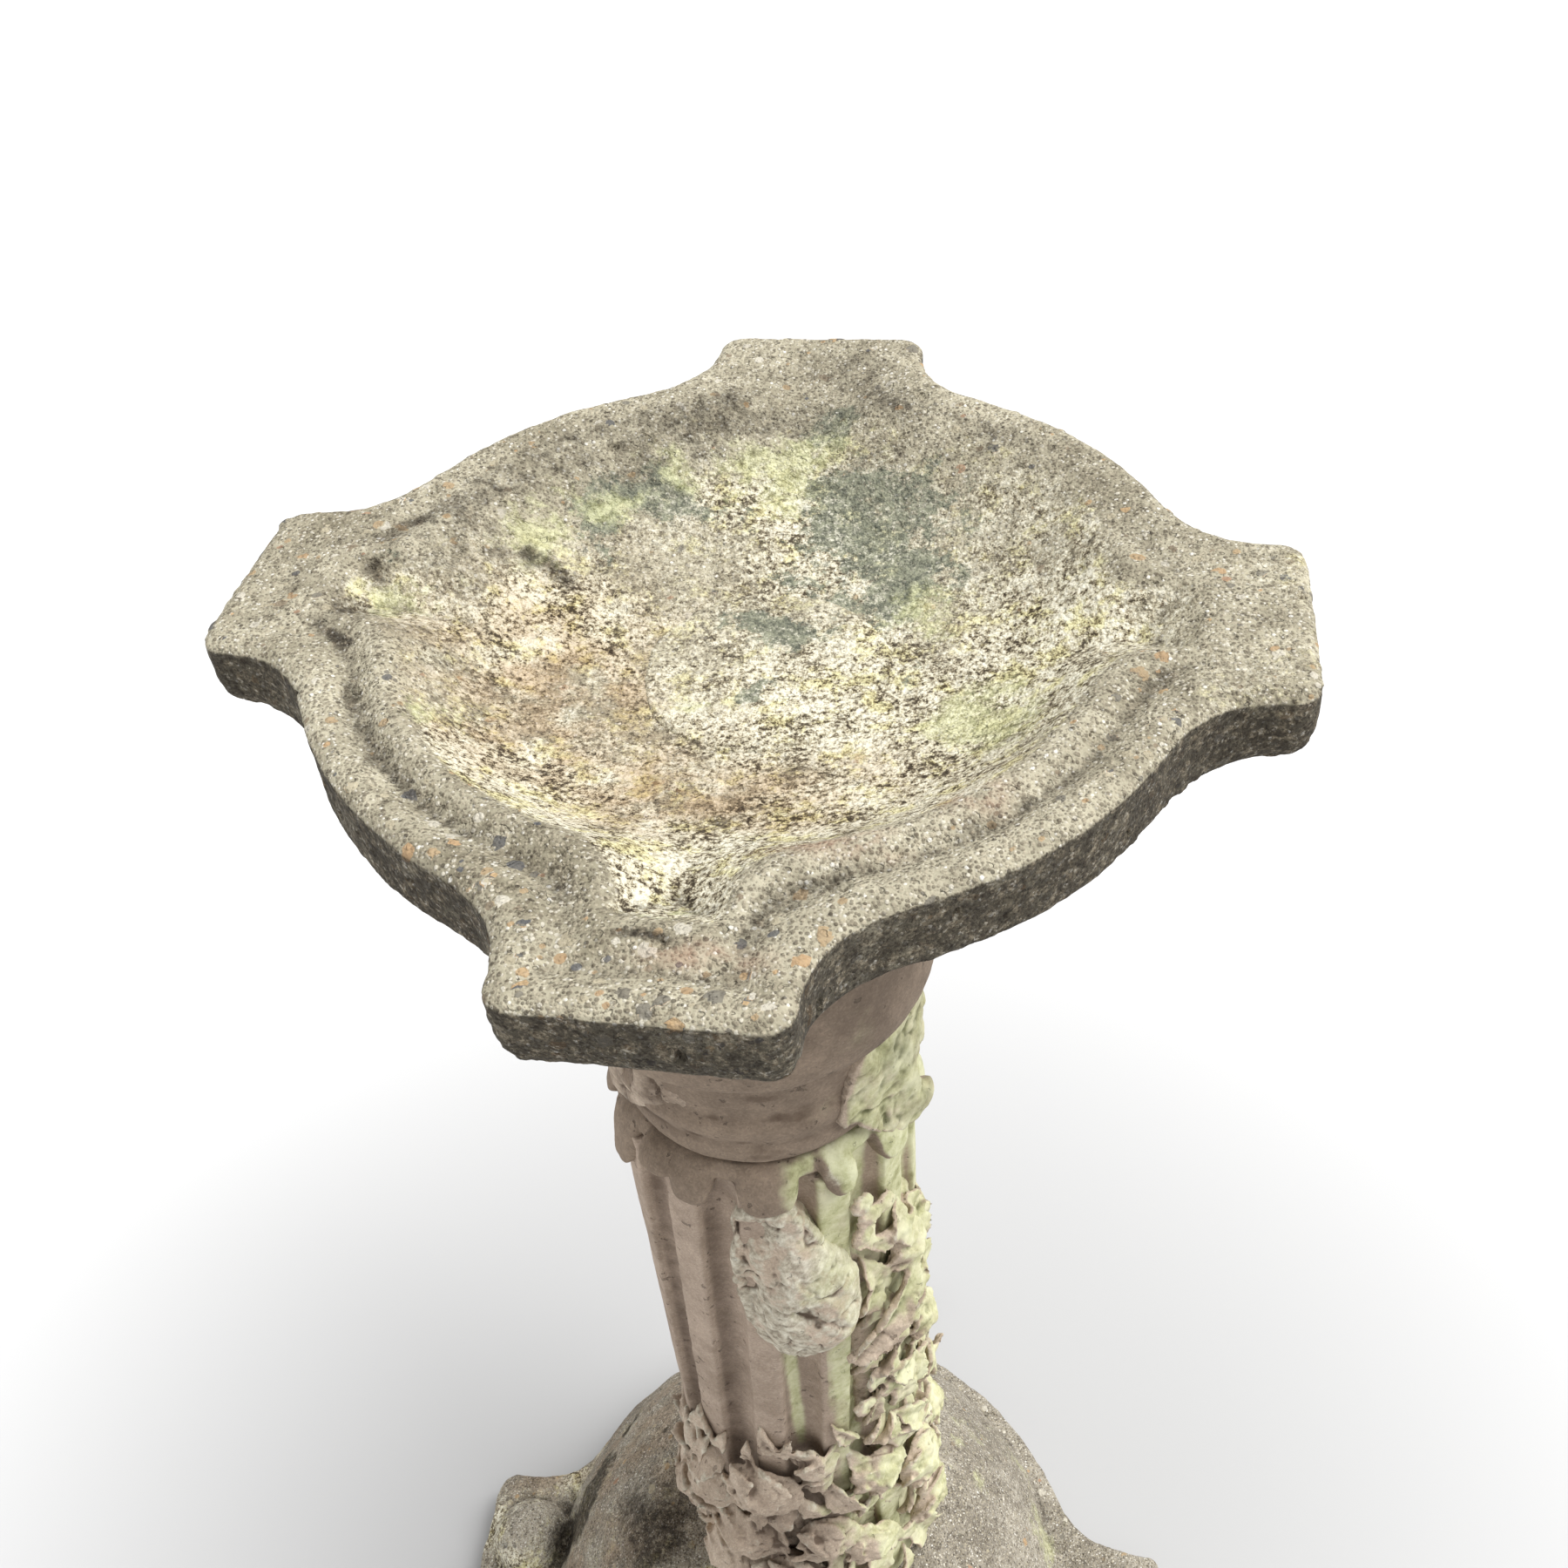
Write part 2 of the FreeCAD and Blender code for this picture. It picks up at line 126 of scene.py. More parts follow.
def spline(controls, count, closed=False):
    """A smooth line through the control points, evenly spread."""
    points = np.array(controls, float)
    if closed:
        points = np.vstack([points[-1:], points, points[:2]])
    else:
        points = np.vstack([2 * points[0] - points[1], points, 2 * points[-1] - points[-2]])
    t = np.linspace(0, 1, 12, endpoint=False)[:, None]
    runs = []
    for a, b, c, d in zip(points, points[1:], points[2:], points[3:]):
        runs.append(0.5 * (2 * b + (c - a) * t + (2 * a - 5 * b + 4 * c - d) * t**2
                           + (3 * b - a - 3 * c + d) * t**3))
    line = np.vstack(runs + [points[-2:-1]])
    steps = np.linalg.norm(np.diff(line, axis=0), axis=1)
    walked = np.concatenate([[0], np.cumsum(steps)])
    wanted = np.linspace(0, walked[-1], count + 1 if closed else count)[:count]
    return np.stack([np.interp(wanted, walked, line[:, k]) for k in range(line.shape[1])], 1)


# ---- closed skins


def skin(rings):
    """Points and faces of a closed skin over rings of points (rings, points in each, xyz)."""
    count, columns = rings.shape[:2]
    index = np.arange(count * columns).reshape(count, columns)
    ahead = np.roll(index, -1, axis=1)
    sides = np.stack([index[:-1], ahead[:-1], ahead[1:], index[1:]], -1).reshape(-1, 4)
    low, high = count * columns, count * columns + 1
    caps = [(b, a, low) for a, b in zip(index[0], ahead[0])]
    caps += [(a, b, high) for a, b in zip(index[-1], ahead[-1])]
    middles = rings[[0, -1]].mean(axis=1)
    return np.vstack([rings.reshape(-1, 3), middles]), sides.tolist() + caps


def circle(count):
    """Angles evenly spread round a circle."""
    return np.linspace(0, 2 * math.pi, count, endpoint=False)


def around(angle, radius, height):
    """Points at angles round the column, at radii and heights in metres."""
    angle, radius, height = np.broadcast_arrays(angle, radius, height)
    return np.stack([AXIS.x + radius * np.cos(angle), AXIS.y + radius * np.sin(angle), height], -1)


def turned(profile, columns):
    """A skin turned round the column's axis from (radius, height) points in millimetres."""
    profile = np.array(profile) * MM
    return skin(around(circle(columns), profile[:, 0, None], profile[:, 1, None]))


def laid(points, azimuth, radius, height, roll=0.0):
    """Flat-drawn points (x along, y across, z outward) bent round the column.

    roll 0 points x straight up and a positive roll leans it to the right, seen from outside.
    """
    c, s = math.cos(roll), math.sin(roll)
    side = points[:, 0] * s + points[:, 1] * c
    up = points[:, 0] * c - points[:, 1] * s
    return around(azimuth + side / radius, radius + points[:, 2], height + up)


def sheet(x, y, z, thick):
    """A closed sheet over a grid of points, thick in z."""
    top = np.stack([x, y, z], -1)
    under = top - np.array([0, 0, thick])
    return skin(np.concatenate([top, under[:, ::-1]], axis=1))


def leaf(length, width, droop, cup, lean):
    """A pointed leaf along x, with a folded middle, toothed edges and its tip bent inward."""
    teeth, thick = 4, 3.4 * MM
    along = np.linspace(0.0, 1, 26)[:, None]
    across = np.linspace(-1, 1, 15)[None, :]
    half = width / 2 * np.sin(math.pi * (0.04 + 0.95 * along) ** 0.8) ** 0.75
    notch = 1 - 0.27 * abs(np.sin(teeth * math.pi * along)) ** 0.6 * abs(across) ** 2
    y = across * half * notch
    z = cup * half * abs(across) ** 1.3 - droop * length * (along - 0.35) ** 2
    side_veins = hill(abs(across) - 1.6 * (along * teeth % 1), 0.16) * abs(across)
    vein = hill(across, 0.10) + 0.6 * side_veins
    z = z - 1.4 * MM * vein * np.sin(math.pi * along) + lean * y
    return sheet(along * length * (1 - 0.08 * abs(across) ** 2), y, z, thick)


def petal(turn, spread, inner, outer, lift, curl, slope):
    """One petal of a flower that faces z, between two radii, with its edge curled over."""
    thick = 2.3 * MM
    along = np.linspace(0, 1, 10)[:, None]
    across = np.linspace(-1, 1, 11)[None, :]
    far = inner + (outer - inner) * along * (1 - 0.22 * across**2)
    angle = turn + spread * across * (0.7 + 0.3 * along)
    z = lift * (1 - 0.4 * along) - curl * along**3 + slope * across * along
    return sheet(far * np.cos(angle), far * np.sin(angle), z, thick)


# Rings of a rose's petals: (how many, inner radius, outer radius, lift), in radii of the rose.
PETALS = ((3, 0.02, 0.36, 0.62), (4, 0.16, 0.62, 0.50), (5, 0.34, 0.86, 0.36), (6, 0.55, 1.05, 0.2))
ROSE_CORE = ((0.9, -0.25), (0.85, 0.0), (0.55, 0.22), (0.24, 0.5), (0.03, 0.58))  # (radius, height)


def rose(radius, turn):
    """A full-blown rose that faces z: four rings of overlapping petals on a solid core."""
    parts = []
    for ring, (count, inner, outer, lift) in enumerate(PETALS):
        for k in range(count):
            angle = turn + 2 * math.pi * (k + 0.37 * ring) / count
            parts.append(petal(angle, 1.2 * math.pi / count, inner * radius, outer * radius,
                               lift * radius, 0.10 * radius, 0.22 * radius))
    angle = circle(24)
    rings = [np.stack([out * np.cos(angle), out * np.sin(angle), height + 0 * angle], -1)
             for out, height in ROSE_CORE]
    parts.append(skin(radius * np.array(rings)))
    return parts


def pillow(controls, edge, crown, sink, shape):
    """A rounded slab from an outline of (across, up) points in millimetres.

    Its edge stands edge high, its middle crown higher, and it reaches sink under the surface.
    shape gives the height to add at (across, up, share from the middle).
    """
    line = spline(controls, 90, closed=True) * MM
    middle = line.mean(axis=0)
    rings = [(0.03, None), (0.5, None), (1.0, None), (1.0, 0.0)]
    rings += [(math.sqrt(1 - k**2), k) for k in np.linspace(0.12, 0.995, 14)]
    made = []
    for share, rise in rings:
        flat = middle + (line - middle) * max(share, 0.03)
        if rise is None:
            z = np.full(len(flat), -sink * MM)
        else:
            z = (edge + crown * rise + shape(flat[:, 0] / MM, flat[:, 1] / MM, share)) * MM
        made.append(np.stack([flat[:, 1], flat[:, 0], z], -1))
    return skin(np.array(made))


# ---- a casting


def put(name, data):
    """A new object in the scene."""
    made = bpy.data.objects.new(name, data)
    bpy.context.scene.collection.objects.link(made)
    return made


def read(items, name, width, kind=float):
    """One attribute of a mesh's points or edges, as rows of width numbers."""
    values = np.zeros(len(items) * width, kind)
    items.foreach_get(name, values)
    return values.reshape(-1, width)


class Casting:
    """A worn piece: skins melted into a single surface that can be pushed, smoothed, stained and painted
    with shade.
    """

    def __init__(self, name, parts, voxel):
        points, faces, start = [], [], 0
        for part_points, part_faces in parts:
            points.append(part_points)
            faces += [[i + start for i in face] for face in part_faces]
            start += len(part_points)
        mesh = bpy.data.meshes.new(name + "_raw")
        mesh.from_pydata(np.vstack(points).tolist(), [], faces)
        mesh.update()
        raw = put(name + "_raw", mesh)
        melt = raw.modifiers.new("melt", "REMESH")
        melt.mode = "VOXEL"
        melt.voxel_size = voxel * MM * COARSE
        graph = bpy.context.evaluated_depsgraph_get()
        self.mesh = bpy.data.meshes.new_from_object(raw.evaluated_get(graph))
        self.mesh.name = name
        bpy.data.objects.remove(raw)
        bpy.data.meshes.remove(mesh)
        self.piece = put(name, self.mesh)
        self.edges = read(self.mesh.edges, "vertices", 2, np.int32)
        self.points = read(self.mesh.vertices, "co", 3)
        self.links = np.maximum(np.bincount(self.edges.ravel(), minlength=len(self.points)), 1)
        self.moved()

    def moved(self):
        """Gives the mesh the points as they are now, and reads its normals again."""
        self.mesh.vertices.foreach_set("co", self.points.ravel())
        self.mesh.update()
        self.normals = read(self.mesh.vertex_normals, "vector", 3)

    def averaged(self, values, rounds):
        """Each point's value averaged with its neighbours', again and again."""
        values = values.reshape(len(self.points), -1)
        a, b = self.edges[:, 0], self.edges[:, 1]
        size = len(self.points)
        for _ in range(rounds):
            total = [np.bincount(a, v[b], size) + np.bincount(b, v[a], size) for v in values.T]
            values = (np.array(total) / self.links).T
        return values

    def wear(self, rounds, strength=0.6):
        """Softens every edge."""
        for _ in range(rounds):
            self.points += strength * (self.averaged(self.points, 1) - self.points)
        self.moved()

    def push(self, amount):
        """Moves each point along its normal."""
        self.points += self.normals * np.asarray(amount)[:, None]
        self.moved()

    def rough(self, size, seed, octaves=4):
        """Noise over the points, about size millimetres across."""
        return rough(self.points, size * MM, seed, octaves)

    def roughen(self, *layers, cracks=None, cover=1.0):
        """Pushes the surface by layers of noise and cut cracks: (height, size, seed) in millimetres."""
        height = sum(high * self.rough(*layer) for high, *layer in layers)
        if cracks:
            height = height - cracks[0] * creases(self.points, *cracks[1:])
        self.push(height * MM * cover)

    def hollow(self, rounds, depth):
        """Above 0 in a hollow, 1 where it is depth millimetres deep, and below 0 on a bump."""
        offset = ((self.averaged(self.points, rounds) - self.points) * self.normals).sum(axis=1)
        return np.clip(offset / (depth * MM), -1, 1)

    def paint(self, **stains_and_shade):
        """Sets a number on every point for each named stain or painted shade, or one number for all of
        them.
        """
        for name, values in stains_and_shade.items():
            if name not in self.mesh.attributes:
                self.mesh.attributes.new(name, "FLOAT", "POINT")
            values = np.broadcast_to(np.asarray(values, np.float32), len(self.points))
            self.mesh.attributes[name].data.foreach_set("value", np.ascontiguousarray(values))

    def pebbles(self, spacing, smallest, largest, cover, proud, seed):
        """Pebbles and the pits of lost ones, in millimetres. Paints pebble (over 0 on one) and tone.

        cover is the share of places that hold one, proud how far it stands out, over its radius.
        """
        absent, lost_share = 0.01 * MM, 0.13
        rng = np.random.default_rng(seed)
        cell = np.floor(self.points / (spacing * MM)).astype(np.int64)
        order = rng.permutation(len(cell))
        first = np.unique(cell[order], axis=0, return_index=True)[1]
        seeds = order[first]
        size = (smallest + (largest - smallest) * rng.random(len(seeds)) ** 2.5) * MM
        kept = np.broadcast_to(cover, len(self.points))[seeds]
        size[rng.random(len(seeds)) > kept] = absent
        tone = rng.random(len(seeds))
        tree = KDTree(len(seeds))
        for k, p in enumerate(self.points[seeds]):
            tree.insert(p, k)
        tree.balance()
        found = [tree.find(p) for p in self.points]
        nearest = np.array([f[1] for f in found])
        away = np.array([f[2] for f in found]) * (1 + 0.35 * noise(self.points, 3 * MM, seed))
        share = 1 - away / size[nearest]
        lost = tone[nearest] < lost_share
        dome = np.sqrt(np.clip(1 - (1 - np.clip(share, 0, 1)) ** 2, 0, 1))
        height = np.where(lost, -0.75, proud * (0.45 + tone[nearest])) * size[nearest] * dome
        self.push(height * ease(share, 0, 0.25))
        self.paint(pebble=np.where(lost, -0.5, share), tone=tone[nearest])

    def done(self, material, body, node, slot):
        """Shades the piece smooth, gives it its material and its body, and hides the CAD part of the node
        that it stands for. slot is not used.
        """
        self.mesh.polygons.foreach_set("use_smooth", np.ones(len(self.mesh.polygons), bool))
        self.mesh.materials.clear()
        self.mesh.materials.append(material)
        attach(self.piece, body)
        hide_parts(node)


# ---- materials


def colour(red, green, blue):
    """A colour given as a screen shows it, 0 to 255, as the linear one that a shader takes."""
    shares = [v / 255 for v in (red, green, blue)]
    return [s / 12.92 if s <= 0.04045 else ((s + 0.055) / 1.055) ** 2.4 for s in shares] + [1.0]


class Shader:
    """A procedural material, built node by node."""

    def __init__(self, name):
        self.material = bpy.data.materials.new(name)
        self.material.use_nodes = True
        self.tree = self.material.node_tree
        self.surface = self.tree.nodes["Principled BSDF"]
        self.place = self.tree.nodes.new("ShaderNodeTexCoord").outputs["Object"]

    def node(self, kind, output=0, settings=None, **inputs):
        """One output of a new node. An input is a name, or i and its number."""
        made = self.tree.nodes.new("ShaderNode" + kind)
        for key, value in (settings or {}).items():
            setattr(made, key, value)
        for key, value in inputs.items():
            socket = made.inputs[int(key[1:]) if key[0] == "i" and key[1:].isdigit() else key]
            if isinstance(value, bpy.types.NodeSocket):
                self.tree.links.new(value, socket)
            else:
                socket.default_value = value
        return made.outputs[output]

    def number(self, name):
        """A stain painted on the points."""
        return self.node("Attribute", "Fac", {"attribute_name": name})

    def noise(self, size, detail, roughness=0.6):
        """Noise whose lumps are about size millimetres."""
        return self.node("TexNoise", "Fac", Vector=self.place, Scale=600 / size, Detail=detail,
                         Roughness=roughness)

    def cells(self, size, output):
        """Round grains about size millimetres apart: their Distance or a random Color each."""
        return self.node("TexVoronoi", output, {"feature": "F1"}, Vector=self.place, Scale=1000 / size)

    def add(self, a, b):
        return self.node("Math", 0, {"operation": "ADD"}, i0=a, i1=b)

    def times(self, a, b):
        return self.node("Math", 0, {"operation": "MULTIPLY"}, i0=a, i1=b)

    def shaken(self, value, pattern, amount):
        """value moved up and down by a pattern that runs from 0 to 1, by amount in all."""
        return self.add(value, self.times(self.add(pattern, -0.5), amount))

    def span(self, value, low, high, start=0.0, end=1.0):
        """value from low to high as start to end, held between them."""
        return self.node("MapRange", 0, {"interpolation_type": "SMOOTHSTEP"}, Value=value,
                         **{"From Min": low, "From Max": high, "To Min": start, "To Max": end})

    def ramp(self, value, stops, hard=False):
        """value as a colour, from (value, colour) stops. A hard ramp has no blends between them."""
        made = self.tree.nodes.new("ShaderNodeValToRGB")
        made.color_ramp.interpolation = "CONSTANT" if hard else "LINEAR"
        elements = made.color_ramp.elements
        while len(elements) < len(stops):
            elements.new(0.5)
        for element, (position, shade) in zip(elements, stops):
            element.position = position
            element.color = colour(*shade)
        self.tree.links.new(value, made.inputs[0])
        return made.outputs[0]

    def mix(self, factor, a, b, blend="MIX"):
        """a with b over it, where each is another node's colour or a plain (red, green, blue)."""
        made = self.tree.nodes.new("ShaderNodeMix")
        made.data_type = "RGBA"
        made.blend_type = blend
        for socket, value in ((made.inputs[0], factor), (made.inputs[6], a), (made.inputs[7], b)):
            if isinstance(value, bpy.types.NodeSocket):
                self.tree.links.new(value, socket)
            else:
                socket.default_value = colour(*value) if isinstance(value, tuple) else value
        return made.outputs[2]

    def done(self, base, height, distance, roughness):
        """The material from its colour, its height, the bump's depth in millimetres and roughness."""
        normal = self.node("Bump", 0, Height=height, Distance=distance * MM, Strength=1.0)
        for name, value in (("Base Color", base), ("Normal", normal), ("Roughness", roughness)):
            self.tree.links.new(value, self.surface.inputs[name])
        self.surface.inputs["Specular IOR Level"].default_value = 0.25
        return self.material


# Colours over a number from 0 to 1.
PEBBLE_TONES = (
    (0.0, (142, 128, 108)), (0.24, (180, 156, 122)), (0.36, (192, 182, 156)), (0.54, (214, 208, 192)),
    (0.66, (188, 156, 118)), (0.72, (126, 122, 112)), (0.82, (92, 94, 98)), (0.90, (192, 162, 122)),
    (0.96, (172, 138, 112)),
)
GRAIN_TONES = (
    (0.0, (58, 50, 42)), (0.16, (104, 95, 80)), (0.40, (150, 141, 122)), (0.60, (182, 172, 150)),
    (0.76, (222, 216, 200)), (0.88, (252, 249, 240)),
)
CRUST_TONES = ((0.385, (56, 46, 35)), (0.445, (140, 128, 105)), (0.495, (205, 197, 171)),
               (0.60, (240, 236, 218)))
SAND_TONES = ((0, (120, 108, 96)), (0.5, (180, 170, 156)), (1, (232, 228, 216)))
WORN_AND_HIGHLIT_TONES = ((0.32, (112, 104, 90)), (0.5, (184, 178, 160)), (0.68, (224, 222, 206)))
ALGAE_TONES = ((0.3, (138, 141, 94)), (0.45, (188, 190, 146)), (0.6, (212, 213, 176)))


def aggregate(name, dark, light):
    """Cast stone with its sand and pebbles washed bare, under lichen, moss, slime and dirt, and darkened
    with painted shade.
    """
    s = Shader(name)
    cloud = s.noise(45, 5, 0.65)
    mottle = s.noise(6, 4, 0.7)
    speck = s.noise(2.4, 6, 0.85)
    grain_near, grain_tone = s.cells(2.0, "Distance"), s.cells(2.0, "Color")
    fine_near, fine_tone = s.cells(1.05, "Distance"), s.cells(1.05, "Color")
    fines = s.ramp(fine_tone, GRAIN_TONES, hard=True)

    base = s.mix(s.span(s.add(cloud, s.times(mottle, 0.8)), 0.62, 1.15), dark, light)
    base = s.mix(s.span(fine_near, 0.6, 0.4, 0, 0.6), base, fines)
    base = s.mix(s.span(grain_near, 0.40, 0.30, 0, 0.7), base, s.ramp(grain_tone, GRAIN_TONES, hard=True))
    base = s.mix(s.span(speck, 0.45, 0.35, 0, 0.8), base, (62, 54, 43))
    stone = s.ramp(s.number("tone"), PEBBLE_TONES, hard=True)
    stone = s.mix(s.span(mottle, 0.35, 0.7, 0.0, 0.35), stone, (96, 86, 70))
    base = s.mix(s.span(s.number("pebble"), 0.04, 0.16, 0, 0.85), base, stone)

    crust = s.shaken(s.shaken(s.number("crust"), speck, 1.3), s.noise(18, 7, 0.8), 1.1)
    flecks = s.shaken(s.noise(1.3, 4, 0.8), s.noise(11, 4, 0.7), 0.40)
    yellowed = s.span(s.noise(8, 6, 0.75), 0.50, 0.60, 0, 0.8)
    crust_tone = s.mix(yellowed, s.ramp(flecks, CRUST_TONES), (250, 248, 208), "MULTIPLY")
    base = s.mix(s.span(crust, 0.25, 0.65, 0, 0.95), base, crust_tone)
    tan = s.times(s.number("tan"), s.span(s.noise(12, 5), 0.3, 0.6))
    base = s.mix(tan, base, (224, 206, 191), "MULTIPLY")
    slate = s.span(s.shaken(s.number("slate"), s.noise(14, 9, 0.85), 3.2), 0.50, 0.64, 0, 0.85)
    slate_tone = s.mix(s.span(speck, 0.4, 0.6), (82, 88, 78), (146, 149, 128))
    base = s.mix(s.times(slate, s.span(flecks, 0.64, 0.52, 0.3, 1.0)), base, slate_tone)
    moss = s.shaken(s.number("moss"), s.noise(9, 8, 0.85), 3.0)
    moss_tone = s.mix(s.span(speck, 0.36, 0.6), (134, 134, 84), (222, 223, 176))
    base = s.mix(s.span(moss, 0.45, 1.0, 0, 0.62), base, moss_tone)
    rust = s.times(s.number("rust"), s.span(s.noise(8, 4), 0.35, 0.6, 0, 0.55))
    base = s.mix(rust, base, (172, 132, 110))
    # Darkest where the points are marked: dirt, and painted shade in hollows, grooves and under ledges.
    grime = s.shaken(s.number("grime"), s.noise(5, 7, 0.85), 1.9)
    dirt_and_shade = s.mix(s.span(speck, 0.48, 0.64), (38, 31, 24), s.mix(0.6, fines, (92, 79, 63)))
    base = s.mix(s.span(grime, 0.15, 1.0, 0, 0.88), base, dirt_and_shade)

    grains = s.add(s.span(grain_near, 0.6, 0.1, 0, 0.7), s.span(fine_near, 0.6, 0.1, 0, 0.4))
    pits = s.span(s.noise(2.8, 2), 0.36, 0.3, 0, -1.2)
    return s.done(base, s.add(s.add(grains, speck), pits), 0.7, s.span(cloud, 0.3, 0.7, 0.88, 0.98))


def cast_stone(name, light, dark, sand):
    """Fine pale cast stone with algae on its damp side, and dirt with painted shade in its hollows."""
    s = Shader(name)
    cloud = s.noise(60, 6, 0.6)
    mottle = s.noise(7, 6, 0.7)
    base = s.mix(s.span(s.add(cloud, s.times(mottle, 0.6)), 0.55, 1.05), dark, light)
    base = s.mix(sand, base, s.ramp(s.cells(0.9, "Color"), SAND_TONES), "OVERLAY")
    pits = s.span(s.noise(3.0, 3, 0.55), 0.34, 0.29)
    base = s.mix(s.times(pits, 0.45), base, (70, 60, 50))
    # Pale where the points are marked: wear and lichen, and painted highlights on edges and on lit sides.
    worn = s.shaken(s.number("worn"), mottle, 1.5)
    base = s.mix(s.span(worn, 0.5, 0.8, 0, 0.8), base, s.ramp(s.noise(2.6, 4, 0.7), WORN_AND_HIGHLIT_TONES))
    algae = s.shaken(s.number("algae"), s.noise(16, 6, 0.7), 1.2)
    base = s.mix(s.span(algae, 0.15, 0.95, 0, 0.82), base, s.ramp(mottle, ALGAE_TONES))
    # Darkest where the points are marked: dirt, and painted shade in hollows and under ledges.
    grime = s.shaken(s.number("grime"), s.noise(10, 6, 0.7), 0.8)
    dirt_and_shade = s.mix(s.span(algae, 0.3, 0.8), (78, 62, 50), (70, 72, 38))
    base = s.mix(s.span(grime, 0.15, 1.0, 0, 0.85), base, dirt_and_shade)
    height = s.add(s.noise(1.6, 5, 0.7), s.times(pits, -1.5))
    return s.done(base, height, 0.4, s.span(cloud, 0.3, 0.7, 0.82, 0.96))


# ---- eared castings


def eared(x, y, radius, reach, half):
    """Distance outside the plan of a round plate with four ears, below 0 inside. In plan reaches."""
    x, y = abs(x), abs(y)
    along, across = np.maximum(x, y), np.minimum(x, y)
    corner = 0.05 * reach
    side = across - half + corner
    end = along - reach + corner
    ear = np.hypot(np.maximum(side, 0), np.maximum(end, 0)) + np.minimum(np.maximum(side, end), 0) - corner
    return blend_min(np.hypot(x, y) - radius, ear, 0.15 * reach)


def eared_rings(radius, half):
    """Plan rings from the middle out to the edge of a plate whose ears reach to 1."""
    columns, spacing, halvings = 900, 0.008, 40
    angle = circle(columns)
    low, high = np.full(columns, 0.5 * radius), np.full(columns, 1.3)
    for _ in range(halvings):
        middle = (low + high) / 2
        outside = eared(middle * np.cos(angle), middle * np.sin(angle), radius, 1.0, half) > 0
        low, high = np.where(outside, low, middle), np.where(outside, middle, high)
    edge = np.stack([low * np.cos(angle), low * np.sin(angle)], -1)
    shares = np.linspace(0.01, 1, int(1 / spacing))
    return shares[:, None, None] * edge


def slab(top, under, steps):
    """A closed skin of two sets of rings over one plan, joined at their edges by a side."""
    side = [top[-1] * (1 - t) + under[-1] * t for t in np.linspace(0, 1, steps)[1:-1]]
    return skin(np.concatenate([top, np.array(side), under[::-1]]))


BOW, EAR = 0.828, 0.230  # of the bowl's reach: its round edge, and half an ear's width at the end
STRETCH = np.array([1.02, 1.012])  # the casting came out a little wider than its drawing
OFFSET = np.array([-2.0, -1.5]) * MM  # and stands a little off its middle
# Its section, in bowl reaches.
GROOVE, GROOVE_DEPTH, GROOVE_WIDTH = 0.094, 0.023, 0.030  # of the rim: how far in, how deep, how wide
SHORE, SCOOP, SCOOP_HALF = 0.160, 0.81, 0.105  # basin's edge from the rim's, scoop's end, half width
DEEPEST, THICK = 0.205, 0.147  # below the rim: the basin's middle, and the underside at the edge


def backward(y):
    """0 on the front half of the bowl, 1 at the back, where rim and basin are softer."""
    return ease(y, -0.05, 0.45)


def plan_of(points):
    """Places on the bowl's plan, in bowl reaches from its middle."""
    flat = (points[:, :2] - np.array([BOWL.x, BOWL.y]) - OFFSET) / (REACH * STRETCH)
    return flat[:, 0], flat[:, 1]


def pool(x, y):
    """How far inside the basin's edge each place is: a round pool with a short scoop in each ear."""
    back = backward(y)
    return -eared(x, y, BOW - SHORE + 0.065 * back, SCOOP - 0.07 * back, SCOOP_HALF)


def moulding(x, y):
    """How much of the rim's groove is left: all on the bows, most on the front ear, little elsewhere."""
    return 1 - ease(np.hypot(x, y), 0.74, 0.86) * (0.25 + 0.6 * ease(y, -0.6, -0.2))


def floor_height(away):
    """Height of the basin's dished floor, in bowl reaches from the rim."""
    return -DEEPEST + 0.066 * (away / 0.49) ** 2


def bowl_top(x, y):
    """Height of the bowl's upper face over its plan, in bowl reaches from the rim."""
    inside = -eared(x, y, BOW, 1.0, EAR)
    away = np.hypot(x, y)
    lip = -0.012 * (1 - ease(inside, 0, 0.022))
    back = backward(y)
    groove = -GROOVE_DEPTH * (1 - 0.8 * back) * moulding(x, y) * hill(inside - GROOVE, GROOVE_WIDTH)
    deep = pool(x, y)
    wall = -(0.95 - 0.30 * back) * (deep + np.hypot(deep, 0.016)) / 2
    floor = floor_height(np.minimum(away, 0.66)) + 0.03 * ease(away, 0.66, 0.84)
    valley = -0.05 * back * hill(x, 0.13) * ease(-away, -0.98, -0.78)
    return -blend_min(-(lip + groove + wall + valley), -floor, 0.05)


def bowl_under(x, y):
    """Height of its underside: a thick square edge on the bows, thin rounded ends on the ears."""
    inside = np.maximum(-eared(x, y, BOW, 1.0, EAR), 0)
    far = np.hypot(x, y)
    out = ease(far, 0.84, 0.97)
    bend = 1 - np.clip(inside / (0.03 + 0.12 * out), 0, 1)
    turn = (0.015 + 0.09 * out) * np.sqrt(1 - bend**2)
    slope = ease(0.83 - far, 0.0, 0.47)
    return -THICK + 0.052 * out - turn - 0.21 * slope**0.85


# Stains on the bowl: (x, y, reach along x, reach along y) in bowl reaches from its middle.
CRUST = (
    (0.20, -0.10, 0.26, 0.22), (0.02, -0.62, 0.26, 0.16), (-0.66, 0.02, 0.16, 0.10),
    (-0.36, -0.50, 0.18, 0.18), (0.0, 0.56, 0.16, 0.14), (0.52, -0.05, 0.14, 0.22),
    (0.34, -0.40, 0.20, 0.18), (0.02, 0.40, 0.10, 0.10), (-0.45, 0.05, 0.16, 0.12),
)
TAN = ((-0.36, -0.10, 0.28, 0.26), (-0.05, -0.38, 0.34, 0.12), (-0.34, -0.30, 0.20, 0.16))
SLATE = (
    (0.16, 0.42, 0.20, 0.15), (0.27, 0.26, 0.11, 0.18), (-0.26, 0.46, 0.17, 0.10),
    (-0.38, 0.36, 0.08, 0.10), (0.05, 0.24, 0.14, 0.05), (0.03, 0.72, 0.07, 0.12),
    (-0.78, 0.14, 0.06, 0.05),
)
